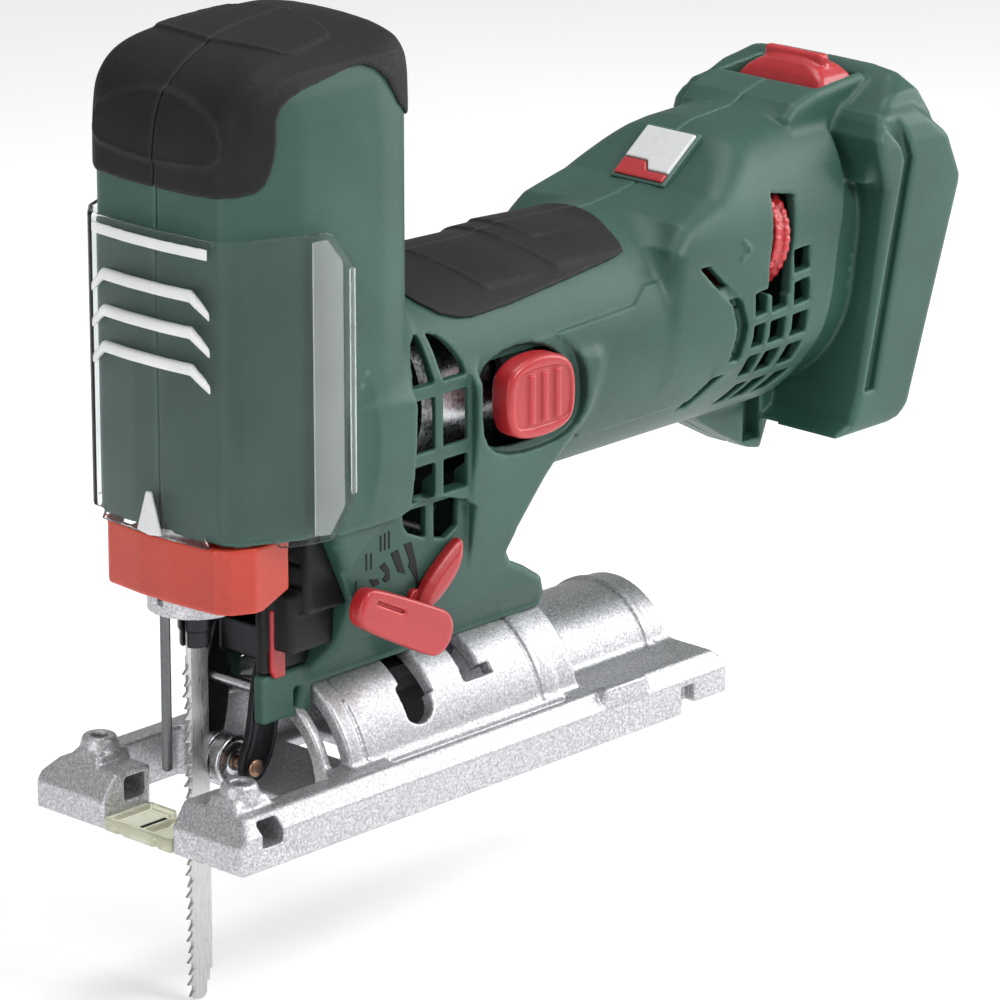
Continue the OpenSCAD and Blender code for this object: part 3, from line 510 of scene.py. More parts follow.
def mixc(nt, fac, a, b, mode="MIX"):
    m = nt.nodes.new("ShaderNodeMix")
    m.data_type, m.blend_type = "RGBA", mode
    if isinstance(fac, (int, float)):
        m.inputs[0].default_value = fac
    else:
        nt.links.new(fac, m.inputs[0])
    for i, v in ((6, a), (7, b)):
        if isinstance(v, tuple):
            m.inputs[i].default_value = (v[0], v[1], v[2], 1)
        else:
            nt.links.new(v, m.inputs[i])
    return m.outputs[2]


def bump(nt, bs, h, strength, dist, prev=None):
    b = nt.nodes.new("ShaderNodeBump")
    b.inputs["Strength"].default_value = strength
    b.inputs["Distance"].default_value = dist
    nt.links.new(h, b.inputs["Height"])
    if prev is not None:
        nt.links.new(prev, b.inputs["Normal"])
    nt.links.new(b.outputs["Normal"], bs.inputs["Normal"])
    return b.outputs["Normal"]


def edge_highlight_mask(nt):
    """painted highlight mask: Pointiness, high along convex edges and low in creases, from the mesh's own shape;
    plastic() lightens the colour where it is high
    """
    g = nt.nodes.new("ShaderNodeNewGeometry")
    return g.outputs["Pointiness"]


def plastic(name, dark, mid, light, rough=(0.42, 0.56), grain=2600, gs=0.35, gd=0.00006, edge_highlight_amount=0.5, spec=0.45, coat=0.0):
    m, nt, bs = new_mat(name)
    v = coords(nt)
    big = noise(nt, v, 22, 3, 0.55)
    fine = noise(nt, v, grain, 2, 0.6)
    spk = noise(nt, v, grain * 0.55, 1, 0.5)
    c = ramp(nt, big, [(0.30, dark), (0.52, mid), (0.75, light)])
    c = mixc(nt, vmap(nt, spk, 0.0, 0.30, 0.42, 0.72), c, light)
    # painted highlight: convex edges are mixed towards a brightened copy of the light tone
    e = vmap(nt, edge_highlight_mask(nt), 0.0, edge_highlight_amount, 0.505, 0.56)
    c = mixc(nt, e, c, tuple(min(1, q * 1.9 + 0.02) for q in light))
    nt.links.new(c, bs.inputs["Base Color"])
    nt.links.new(vmap(nt, fine, rough[0], rough[1], 0.3, 0.7), bs.inputs["Roughness"])
    bs.inputs["Specular IOR Level"].default_value = spec
    if coat:
        bs.inputs["Coat Weight"].default_value = coat
        bs.inputs["Coat Roughness"].default_value = 0.18
    bump(nt, bs, fine, gs, gd)
    return m


GREEN = plastic("green_moulded", (0.013, 0.050, 0.037), (0.019, 0.066, 0.049), (0.029, 0.088, 0.066), (0.40, 0.56), 2400, 0.45, 0.00007, 0.35)
BLACKRUB = plastic("soft_black", (0.0050, 0.0050, 0.0056), (0.0080, 0.0080, 0.0090), (0.016, 0.016, 0.018), (0.52, 0.70), 1900, 0.5, 0.00008, 0.30, 0.22)
BLACKPL = plastic("black_moulded", (0.004, 0.0044, 0.005), (0.006, 0.0064, 0.007), (0.010, 0.0105, 0.012), (0.38, 0.52), 1500, 0.3, 0.00006, 0.2, 0.22)
RED = plastic("red_moulded", (0.29, 0.010, 0.014), (0.37, 0.014, 0.019), (0.46, 0.027, 0.032), (0.30, 0.42), 1700, 0.18, 0.00005, 0.20, 0.5, 0.12)
REDOR = plastic("red_lever", (0.36, 0.022, 0.008), (0.45, 0.031, 0.011), (0.53, 0.050, 0.020), (0.30, 0.42), 1700, 0.18, 0.00005, 0.20, 0.5, 0.10)
WHITE = plastic("white_plate", (0.52, 0.53, 0.55), (0.60, 0.61, 0.62), (0.68, 0.69, 0.70), (0.25, 0.35), 900, 0.1, 0.00003, 0.1)
PCB = plastic("potting", (0.02, 0.06, 0.035), (0.03, 0.09, 0.05), (0.05, 0.12, 0.07), (0.25, 0.4), 500, 0.2, 0.0001, 0.1)


def cast_alu():
    m, nt, bs = new_mat("cast_aluminium")
    v = coords(nt)
    big = noise(nt, v, 30, 3, 0.6)
    g1 = noise(nt, v, 1500, 2, 0.75)
    g2 = noise(nt, v, 3300, 1, 0.5)
    c = ramp(nt, g1, [(0.30, (0.27, 0.27, 0.29)), (0.50, (0.47, 0.47, 0.49)), (0.66, (0.70, 0.70, 0.72))])
    c = mixc(nt, vmap(nt, big, 0.0, 0.35, 0.35, 0.7), c, (0.46, 0.46, 0.48))
    nt.links.new(c, bs.inputs["Base Color"])
    bs.inputs["Metallic"].default_value = 0.80
    nt.links.new(vmap(nt, g2, 0.30, 0.58, 0.3, 0.7), bs.inputs["Roughness"])
    n = bump(nt, bs, g1, 0.42, 0.00012)
    bump(nt, bs, g2, 0.35, 0.00008, n)
    return m


def metal(name, col, rough, scale=(1, 1, 1), grain=900, b=0.15, lo=0.85, hi=1.1):
    m, nt, bs = new_mat(name)
    v = coords(nt, scale)
    g = noise(nt, v, grain, 3, 0.6)
    c = ramp(nt, g, [(0.3, tuple(q * lo for q in col)), (0.7, tuple(min(1, q * hi) for q in col))])
    nt.links.new(c, bs.inputs["Base Color"])
    bs.inputs["Metallic"].default_value = 1.0
    nt.links.new(vmap(nt, g, rough[0], rough[1], 0.3, 0.7), bs.inputs["Roughness"])
    bump(nt, bs, g, b, 0.00004)
    return m


ALU = cast_alu()
STEEL = metal("steel", (0.56, 0.57, 0.59), (0.22, 0.38))
BLADE = metal("blade_steel", (0.50, 0.50, 0.49), (0.24, 0.40), (1, 1, 0.12), 1400, 0.2)
DARK = metal("black_oxide", (0.035, 0.036, 0.040), (0.30, 0.48), grain=700)
BRONZE = metal("bronze", (0.62, 0.42, 0.20), (0.3, 0.5))
COPPER = metal("copper", (0.70, 0.36, 0.20), (0.25, 0.4), (12, 1, 1), 600)
MAGNET = metal("ferrite", (0.12, 0.12, 0.13), (0.5, 0.7))


def clear_mat(name, ca, cb, trans, rough, ior=1.45):
    m, nt, bs = new_mat(name)
    v = coords(nt)
    n = noise(nt, v, 60, 2, 0.5)
    s = noise(nt, v, 40, 2, 0.6)
    nt.links.new(ramp(nt, n, [(0.3, ca), (0.7, cb)]), bs.inputs["Base Color"])
    nt.links.new(vmap(nt, s, rough[0], rough[1], 0.3, 0.7), bs.inputs["Roughness"])
    bs.inputs["IOR"].default_value = ior
    bs.inputs["Transmission Weight"].default_value = trans
    bump(nt, bs, n, 0.01, 0.00004)
    return m


CLEAR = clear_mat("clear_polycarbonate", (0.86, 0.90, 0.90), (0.95, 0.97, 0.97), 1.0, (0.015, 0.04), 1.25)
CLEARY = clear_mat("clear_insert", (0.80, 0.82, 0.62), (0.92, 0.92, 0.78), 0.75, (0.10, 0.22))
# painted reflection: near-white frosted tint for the shield's grip ribs and top band, standing in for the softbox
# reflections on them
RIB_REFLECTION = clear_mat("ribs_painted_reflection", (0.86, 0.87, 0.88), (0.97, 0.97, 0.98), 0.30, (0.16, 0.30))
FROST2 = clear_mat("hazed_edge", (0.88, 0.91, 0.92), (0.95, 0.97, 0.98), 0.90, (0.14, 0.20))
GREEN2 = plastic("green_badge_frame", (0.030, 0.080, 0.064), (0.038, 0.094, 0.076), (0.050, 0.112, 0.092), (0.35, 0.5), 1600, 0.2, 0.00005, 0.2)
COPPIN = metal("pin_end", (0.40, 0.24, 0.17), (0.28, 0.42), grain=800)
GUARDM = metal("guard_steel", (0.13, 0.135, 0.14), (0.25, 0.4), grain=800)


# ---------------------------------------------------------------- build: housing
H = 0.6
for s, nm in ((-1, "left"), (1, "right")):
    me = housing(s, H)
    mesh_obj("shell_" + nm, me, GREEN, "main", ["housing_" + nm])

# ---------------------------------------------------------------- build: the other outside pieces
def solid(name, lo, hi, h, fn, mat, body, repl=()):
    g = Grid(lo, hi, h * (1.0))
    v = fn(g, g.x, g.y, g.z)
    g.v = np.array(np.broadcast_to(v, tuple(g.n)), dtype=F)
    return mesh_obj(name, nets(g, name), mat, body, repl)


def pxz(x, z, pts):
    return poly2(x[:, 0, :], z[0, 0, :][None, :], pts)[:, None, :]


def pyz(y, z, pts):
    return poly2(y[0, :, 0][:, None], z[0, 0, :][None, :], pts)[None, :, :]


def pxy(x, y, pts):
    return poly2(x[:, :, 0], y[:, :, 0], pts)[:, :, None]


def sideof(y, s, gap=0.14):
    return (y + F(gap)) if s < 0 else (F(gap) - y)


def emboss(d2, w=1.2):
    """0 outside, 1 inside an outline, with a soft flank of width w"""
    return np.clip(F(0.5) - d2 / F(w), 0, 1)


CAP_EDGE = [(-40, 60), (-40, 168.0), (-12, 168.0), (-9.9, 168.9), (-3.6, 169.9), (-1.2, 171.8), (0.4, 175.6), (1.6, 181.2), (1.9, 187.4), (3.4, 190.2), (6.4, 192.2), (10.8, 193.6),
            (27.6, 196.1), (32.4, 196.0), (36, 194.4), (38.9, 191.6), (43.3, 184.4), (47, 181.2), (51.2, 179.2), (56, 178), (90, 178), (90, 60)]
HEX = [(0, 192.4), (9, 191.2), (16.5, 188.8), (20.8, 186.4), (22.6, 183), (22.4, 179), (19.6, 176.6), (10, 175.5), (0, 175.2),
       (-10, 175.5), (-19.6, 176.6), (-22.4, 179), (-22.6, 183), (-20.8, 186.4), (-16.5, 188.8), (-9, 191.2)]
DIAMOND = [(7.9, 0), (9.2, 14), (11, 22), (13, 23.4), (16, 23.4), (27, 21.4), (29.4, 19.6), (31.6, 12), (33.2, 0),
           (31.6, -12), (29.4, -19.6), (27, -21.4), (16, -23.4), (13, -23.4), (11, -22), (9.2, -14)]


def head_field(x, y, z):
    plan = pxy(x, y, chaikin(HEAD_PLAN, 2))
    side = pxz(x, z, chaikin(HEAD_SIDE, 2))
    front = pyz(y, z, HEAD_FRONT)
    return smax(smax(plan, front, 7), side, 5)


def cap(s):
    def fn(g, x, y, z):
        d = head_field(x, y, z)
        hexd, dia = pyz(y, z, HEX), pxy(x, y, DIAMOND)
        lift = F(0.62) * emboss(np.maximum(hexd, x - F(6)), 1.0) + F(0.62) * emboss(np.maximum(dia, F(192) - z), 1.0)
        ridge = F(0.45) * np.clip(1 - np.abs(hexd) / F(1.1), 0, 1) * (x < 6) + F(0.45) * np.clip(1 - np.abs(dia) / F(1.0), 0, 1) * (z > 194)
        lift = lift + ridge
        v = smax(d - F(1.0) - lift, -(d + F(0.5)), 0.3)
        edge = pxz(x, z, CAP_EDGE)
        v = smax(v, -np.broadcast_to(edge, v.shape), 1.1)
        return smax(v, np.broadcast_to(sideof(y, s), v.shape), 0.7)
    y0, y1 = (-37, 0.8) if s < 0 else (-0.8, 37)
    nm = "left" if s < 0 else "right"
    solid("soft_cap_" + nm, (-16, y0, 165), (58, y1, 208.6), 0.5, fn, BLACKRUB, "main", ["head_cap_" + nm])


for s in (-1, 1):
    cap(s)

PAD_EDGE = [(57.6, 131.5), (60.4, 128), (65, 124.6), (70, 122.9), (75, 122.2), (90, 122.6), (110, 124), (132, 125.6), (136.4, 126.4), (137.6, 128.4), (138.2, 131),
            (139.8, 133.4), (141.8, 140), (120, 150), (90, 150), (57, 150), (52, 145), (52, 137)]


def pad(s):
    def fn(g, x, y, z):
        d = outer(x, y, z)
        ay = np.abs(y)
        # three low steps on the grip, each with a curved rear edge
        lift = 0
        for xs in (76, 103, 110):
            c = x - F(xs) - F(0.020) * (ay - 2) ** 2
            w = np.clip(c / F(0.8) + F(0.5), 0, 1) * np.clip(1 - c / F(24 if xs != 103 else 30), 0, 1)
            band = np.clip((F(22 if xs != 110 else 12) - ay) / F(1.2), 0, 1)
            lift = lift + F(0.75) * w * band
        v = smax(d - F(1.0) - lift, -(d + F(0.5)), 0.3)
        edge = pxz(x, z, PAD_EDGE)
        v = smax(v, np.broadcast_to(edge, v.shape), 1.2)
        # lip up the back of the head
        lip = np.maximum(np.maximum(d - F(1.0), -(d + F(0.5))), np.maximum(F(51.5) - x, x - F(62)))
        w2 = pyz(y, z, [(13.4, 128), (13.4, 147), (15.6, 160), (19.0, 167), (17.6, 171.5), (12, 174), (0, 175), (-12, 174), (-17.6, 171.5), (-19.0, 167), (-15.6, 160), (-13.4, 147), (-13.4, 128)])
        lip = smax(lip, np.broadcast_to(w2, lip.shape), 0.9)
        v = smin(v, lip, 0.6)
        return smax(v, np.broadcast_to(sideof(y, s), v.shape), 0.7)
    y0, y1 = (-27, 0.8) if s < 0 else (-0.8, 27)
    nm = "left" if s < 0 else "right"
    solid("soft_pad_" + nm, (49, y0, 118), (146, y1, 177), 0.5, fn, BLACKRUB, "main", ["grip_pad_" + nm])


for s in (-1, 1):
    pad(s)

# clear shield: thin moulded wall, two materials are one piece each
SH_OUT = both([(-14.8, 0.01), (-14.8, 6), (-13.5, 21.4), (-12.9, 22.6), (-8.9, 26.6), (-7.9, 27.3), (6.6, 33.9), (7.8, 34.3), (12, 35), (22.2, 35)])
SH_IN = both([(-13.4, 0.01), (-13.4, 6), (-12.1, 21.2), (-7.5, 26.0), (7.8, 32.9), (13, 33.7), (60, 33.7)])
SH_SIDE = [(-30, 80.0), (-2, 79.6), (13.5, 79.4), (16, 80.4), (21.4, 87), (22.2, 89), (22.2, 148.6), (21.4, 150.6), (15.6, 157.4), (13, 158.7), (-30, 158.7)]


def shield_wall(g, x, y, z):
    po, pi_ = pxy(x, y, SH_OUT), pxy(x, y, SH_IN)
    v = smax(po, -pi_, 0.35)
    v = smax(np.broadcast_to(v, (g.n[0], g.n[1], g.n[2])), np.broadcast_to(pxz(x, z, SH_SIDE), (g.n[0], g.n[1], g.n[2])), 0.6)
    ay = np.abs(y)
    # finger relief at the lower front corners
    c = pxz(x, z, [(-20, 70), (-20, 82.6), (-2, 82.6), (0.6, 79), (0.6, 70)])
    v = smax(v, -np.maximum(c, F(19.4) - (z - 79) * F(0.45) - ay), 0.5)
    return v


solid("chip_shield", (-17, -36.5, 77), (24, 36.5, 161), 0.42, shield_wall, CLEAR, "shield", ["clear_shield"])


def shield_marks(g, x, y, z):
    """three grip ribs with drooping ends and the band under the top edge; the ribs' white is painted reflection, and
    the band is a painted highlight of the top edge
    """
    po = pxy(x, y, SH_OUT)
    ay = np.abs(y)
    v = None
    for zc in (144.2, 134.9, 125.6):
        zz = z - F(zc) + np.maximum(ay - F(15.5), 0) * F(0.85)
        q = np.maximum(np.abs(zz) - F(1.55), ay - F(21.4))
        top = po - F(1.5) * np.clip((F(21.6) - ay) / F(5.5), 0.15, 1)
        q = smax(np.broadcast_to(q, (g.n[0], g.n[1], g.n[2])), np.broadcast_to(top, (g.n[0], g.n[1], g.n[2])), 1.2)
        v = q if v is None else np.minimum(v, q)
    # painted highlight: a raised white band just under the top edge, where the edge's chamfer catches the light
    band = smax(np.broadcast_to(np.maximum(np.abs(z - F(155.3)) - F(1.5), ay - F(20.4)), v.shape), np.broadcast_to(po - F(0.35), v.shape), 0.3)
    v = np.minimum(v, band)
    return smax(v, np.broadcast_to(-(po + F(0.25)), v.shape), 0.2)


# grip ribs and top band in the painted-reflection white
solid("shield_ribs_and_highlight_band", (-18, -23, 118), (-9, 23, 159), 0.4, shield_marks, RIB_REFLECTION, "shield")


def shield_strips(g, x, y, z):
    """frosted strip along each rear edge and the bead on the edge itself"""
    po = pxy(x, y, SH_OUT)
    ay = np.abs(y)
    sh = (g.n[0], g.n[1], g.n[2])
    v = np.maximum(np.abs(np.broadcast_to(po, sh) - F(0.10)) - F(0.22), F(8.2) - x)
    v = np.maximum(v, np.broadcast_to(pxz(x, z, [(8, 81.6), (13.2, 81.2), (18.4, 87.6), (18.4, 150.2), (13, 156.8), (8, 157)]), sh))
    bead = np.maximum(np.maximum(np.abs(x - F(21.6)) - F(0.65), np.abs(ay - F(35.1)) - F(0.75)), np.maximum(F(90) - z, z - F(148)))
    return smax(np.minimum(v, bead), F(26) - ay, 0.1)


solid("shield_edges", (7, -37, 80), (24, 37, 160), 0.36, shield_strips, FROST2, "shield")


def pointer(g, x, y, z):
    po = pxy(x, y, SH_OUT)
    t = pyz(y, z, [(0.9, 91.4), (-0.9, 91.4), (-4.4, 80.6), (0, 79.9), (4.4, 80.6)])
    sh = (g.n[0], g.n[1], g.n[2])
    v = smax(np.broadcast_to(t, sh), np.broadcast_to(po - F(0.8), sh), 0.7)
    return np.maximum(v, np.broadcast_to(-(po + F(0.15)), sh))


solid("shield_pointer", (-17.5, -6, 78), (-12.5, 6, 94), 0.3, pointer, WHITE, "shield")

# release lever
LEV_OUT = [(8, -25.8), (-4, -26.3), (-9.6, -23.3), (-12.0, -19.8), (-13.2, -6), (-13.2, 6), (-12.0, 18.3), (-9.8, 20.9), (-4, 22.7), (-4, 20.2), (-8.2, 18.6), (-9.6, 16.6), (-10.2, 11),
           (0, 15.4), (0, -15.4), (-10.2, -11), (-9.6, -18.8), (-7.8, -21.2), (-4, -23.6), (8, -23.2)]


def lever(g, x, y, z):
    sh = (g.n[0], g.n[1], g.n[2])
    v = np.broadcast_to(pxy(x, y, LEV_OUT), sh)
    s = np.broadcast_to(pxz(x, z, [(-30, 62.6), (-1.5, 62.6), (8.1, 66.2), (8.1, 79.7), (-30, 79.7)]), sh)
    v = smax(v, s, 0.9)
    return smax(v, F(12.25) - np.sqrt(x * x + y * y), 0.3)


solid("clamp_lever", (-15, -28, 61), (10, 25, 81), 0.42, lever, REDOR, "blade_lever", ["release_lever"])


# black cover behind the lever, with the red strip on it
def cover(g, x, y, z):
    v = dbox(x, y, z, (10.2, -14.2, 39.8), (30, 14.2, 60), 0.6)
    v = smin(v, dbox(x, y, z, (14.6, -25.5, 57), (33, 25.5, 85), 1.2), 2.0)
    v = smin(v, dbox(x, y, z, (12.6, -21.5, 46), (32, 21.5, 62), 1.2), 2.0)
    v = np.maximum(v, -dbox(x, y, z, (0, -10.9, 15), (26.5, 10.9, 57.6), 0.3))
    v = np.maximum(v, -dbox(x, y, z, (0, -12.2, 57), (31, 12.2, 90), 0.3))
    for zz in (64, 70, 76):
        for q in (-1, 1):
            v = smax(v, -dbox(x, y, z, (13, min(q * 15, q * 23), zz - 0.5), (15.3, max(q * 15, q * 23), zz + 0.5), 0.2), 0.3)
    return v


solid("inner_cover", (8, -27, 37), (35, 27, 87), 0.6, cover, BLACKPL, "main")
solid("cover_strip", (10, -17, 36), (19, -12, 59), 0.35,
      lambda g, x, y, z: smax(dbox(x, y, z, (11.8, -15.6, 38.6), (16.6, -13.9, 57), 0.5), np.broadcast_to(pxz(x, z, [(11.6, 41), (13, 38.4), (16.8, 38.4), (16.8, 57.4), (11.6, 57.4)]), (g.n[0], g.n[1], g.n[2])), 0.5),
      RED, "main")

# orbital lever
CA, SA = math.cos(math.radians(27)), math.sin(math.radians(27))


def orb(g, x, y, z):
    u = (x - F(51)) * F(-CA) + (z - F(46.2)) * F(SA)
    w = (x - F(51)) * F(SA) + (z - F(46.2)) * F(CA)
    sh = (g.n[0], g.n[1], g.n[2])
    U, W = u[:, 0, :], w[:, 0, :]
    P = chaikin([(30, 1), (29.4, 4.0), (26, 5.4), (2, 6.2), (-3, 6.0), (-6.2, 3), (-6.6, -2), (-4, -5.8), (0, -6.4), (26, -5.6), (29, -4), (30, -1)], 2)
    d2 = poly2(U, W, P)[:, None, :]
    v = rmax(np.broadcast_to(d2, sh), np.maximum(F(-35.4) - y, y - F(-30.35)) + 0 * x, 1.2)
    v = np.broadcast_to(v, sh)
    # slot mark near the tip
    sl = np.maximum(np.maximum(np.abs(u - F(19.5)) - F(5.6), np.abs(w - F(2.0)) - F(0.42)), y - F(-34.4)) + 0 * y
    v = smax(v, -np.broadcast_to(sl, sh), 0.2)
    hub = dcyl(x, z, y, (51, 46.2), 5.2, -31, -25.5, 0.3)
    v = smin(v, np.broadcast_to(hub, sh), 0.4)
    sft = dcyl(x, z, y, (51, 46.2), 3.95, -27, 7, 0.3)
    sft = np.maximum(sft, -dbox(x, y, z, (46, -5, 48.9), (56, 5, 52), 0))
    return np.minimum(v, np.broadcast_to(sft, sh))


solid("orbit_handle", (18, -36.5, 36), (61, 8.5, 68), 0.5, orb, RED, "orbit_lever", ["orbital_lever"])


def blow(g, x, y, z):
    c, n = math.cos(math.radians(38)), math.sin(math.radians(38))
    u = (x - F(51)) * F(c) + (z - F(53)) * F(n)
    w = -(x - F(51)) * F(n) + (z - F(53)) * F(c)
    sh = (g.n[0], g.n[1], g.n[2])
    P = chaikin([(-2.4, -1.2), (1, -3.4), (10, -4.0), (16, -2.4), (19.4, 1.4), (19.0, 3.2), (10, 3.9), (3, 3.4), (-2.2, 1.0)], 1)
    d2 = np.broadcast_to(poly2(u[:, 0, :], w[:, 0, :], P)[:, None, :], sh)
    # bevelled front face
    top = np.maximum(F(-32.2) - y - np.clip(d2 + F(2.2), 0, 3) * F(-0.55), y - F(-28.3))
    v = smax(d2, np.broadcast_to(top, sh), 0.5)
    return np.minimum(v, np.broadcast_to(dcyl(x, z, y, (50, 54.5), 1.95, -29, -21, 0.2), sh))


solid("blower_paddle", (46, -33, 50), (67, -20, 71), 0.36, blow, RED, "blower_lever", ["blower_lever"])

# on/off sliders
SL = [(77.2, 107.6), (76.4, 101), (77.4, 94.0), (81.0, 90.4), (89.9, 89.2), (98.6, 90.4), (102.2, 94.2), (102.2, 105), (98.4, 109.6), (91, 111.4), (82.5, 110.8)]


def slider_fn(s):
    def fn(g, x, y, z):
        sh = (g.n[0], g.n[1], g.n[2])
        yy = F(s) * y
        d2 = np.broadcast_to(pxz(x, z, chaikin(SL, 2)), sh)
        v = rmax(d2, np.broadcast_to(np.maximum(F(29.4) - yy, yy - F(36.4)) + 0 * x, sh), 1.5)
        # sunk field at the front end, three upright ribs behind it
        fld = np.maximum(np.broadcast_to(pxz(x, z, chaikin([(79.4, 105.6), (79, 95), (82, 92.6), (98, 92.6), (100, 95), (100, 105), (97, 107.6), (83, 108.4)], 1)), sh), F(35.85) - yy)
        v = smax(v, -fld, 0.4)
        for xc in (85.4, 90.2, 95.0):
            r = rmax(np.broadcast_to(np.maximum(np.abs(x - F(xc)) - F(1.15), np.abs(z - F(100.3)) - F(6.6)) + 0 * y, sh), np.broadcast_to(yy - F(36.75) + 0 * x, sh), 0.6)
            v = smin(v, np.maximum(r, F(34) - yy), 0.4)
        foot = dbox(x, yy, z, (80, 27.8, 98), (96.4, 31, 104), 0.2)
        return np.minimum(v, np.broadcast_to(foot, sh))
    return fn


solid("slide_button_left", (75, -38, 88), (104, -27, 113), 0.4, slider_fn(-1), RED, "power_slider", ["power_slider_left"])
solid("slide_button_right", (75, 27, 88), (104, 38, 113), 0.4, slider_fn(1), RED, "power_slider", ["power_slider_right"])

# battery latch
def latch(g, x, y, z):
    sh = (g.n[0], g.n[1], g.n[2])
    v = rmax(np.broadcast_to(pyz(y, z, chaikin([(16.4, 140), (16.4, 149.5), (16.0, 152), (12.5, 156.6), (6, 159.4), (0, 159.9), (-6, 159.4), (-12.5, 156.6), (-16.0, 152), (-16.4, 149.5), (-16.4, 140)], 1)), sh),
             np.broadcast_to(pxz(x, z, chaikin([(222.4, 140), (222.4, 150), (223.4, 154.4), (227, 159.0), (231, 160.2), (235, 159), (237.5, 154), (237.5, 140)], 1)), sh), 1.4)
    v = np.maximum(v, F(143.4) - z)
    # finger ridge across the top
    r = dbox(x, y, z, (228.6, -10.5, 156), (231.8, 10.5, 160.9), 1.2)
    v = smin(v, r, 1.0)
    for k in (-1, 1):
        v = smax(v, -dbox(x, y, z, (228.4 + 4.4 * k, -9, 158.6 - abs(k) * 1.1), (230.0 + 4.4 * k, 9, 164), 0.4), 0.8)
    st = np.minimum(dbox(x, y, z, (225.5, -6, 139), (235, 6, 148), 0.3), np.minimum(dbox(x, y, z, (234, -6, 136.4), (246, 6, 141), 0.4), dbox(x, y, z, (241.6, -6, 133), (246, 6, 138), 0.5)))
    v = np.minimum(v, st)
    return np.maximum(v, -dcyl(x, y, z, (230, 0), 3.2, 120, 143))


solid("latch_key", (220, -18, 131), (248, 18, 163), 0.45, latch, RED, "latch", ["latch_button"])

# badge: blank white plate with a red corner
BM = Matrix.Translation(Vector((0.1732, 0, 0.1412))) @ Matrix.Rotation(math.radians(-36.5), 4, "Y")


def badge_poly(pts, z0, z1, name, mat, repl=()):
    def fn(g, x, y, z):
        sh = (g.n[0], g.n[1], g.n[2])
        return rmax(np.broadcast_to(pxy(x, y, pts), sh), np.broadcast_to(np.maximum(F(z0) - z, z - F(z1)) + 0 * x, sh), 0.35)
    ob = solid(name, (-10, -11, -2.2), (10, 11, 3), 0.3, fn, mat, "main", repl)
    ob.data.transform(BM)
    return ob


badge_poly([(-9.2, -9.6), (9.2, -9.6), (9.6, -9.2), (9.6, 9.2), (9.2, 9.6), (-9.2, 9.6), (-9.6, 9.2), (-9.6, -9.2)], -2.0, 1.0, "badge_frame", GREEN2)
badge_poly([(-5.6, -8.6), (8.4, -8.6), (8.6, -8.4), (8.6, 8.4), (8.4, 8.6), (-2.6, 8.6), (-2.6, 0.6), (-5.6, -1.6)], -1.0, 1.75, "badge_white", WHITE, ["badge_plate"])
badge_poly([(-8.6, -8.4), (-6.0, -8.6), (-6.0, -1.4), (-3.0, 0.8), (-3.0, 8.6), (-8.4, 8.6), (-8.6, 8.4)], -1.0, 1.6, "badge_red", RED)

# speed wheel
def wheel(g, x, y, z):
    # local axes: u along the axle, r from it
    c, sn = math.cos(math.radians(11.5)), math.sin(math.radians(11.5))
    dx, dy, dz = x - F(188), y - F(-17), z - F(120)
    u = dx * F(c) - dz * F(sn)
    w = dx * F(sn) + dz * F(c)
    r = np.sqrt(dy * dy + w * w)
    a = np.arctan2(dy, w)
    v = rmax(r - F(15.15) + F(0.35) * (0.5 + 0.5 * np.cos(a * 36)), np.abs(u) - F(3.0) + 0 * dy, 0.5)
    band = np.maximum(np.abs(u) - F(0.9), F(14.4) - r)
    v = smax(v, -band, 0.3)
    return np.maximum(v, F(2.05) - r)


solid("dial", (183, -33.2, 103.5), (193, -1, 136.5), 0.36, wheel, RED, "speed_wheel", ["speed_wheel"])


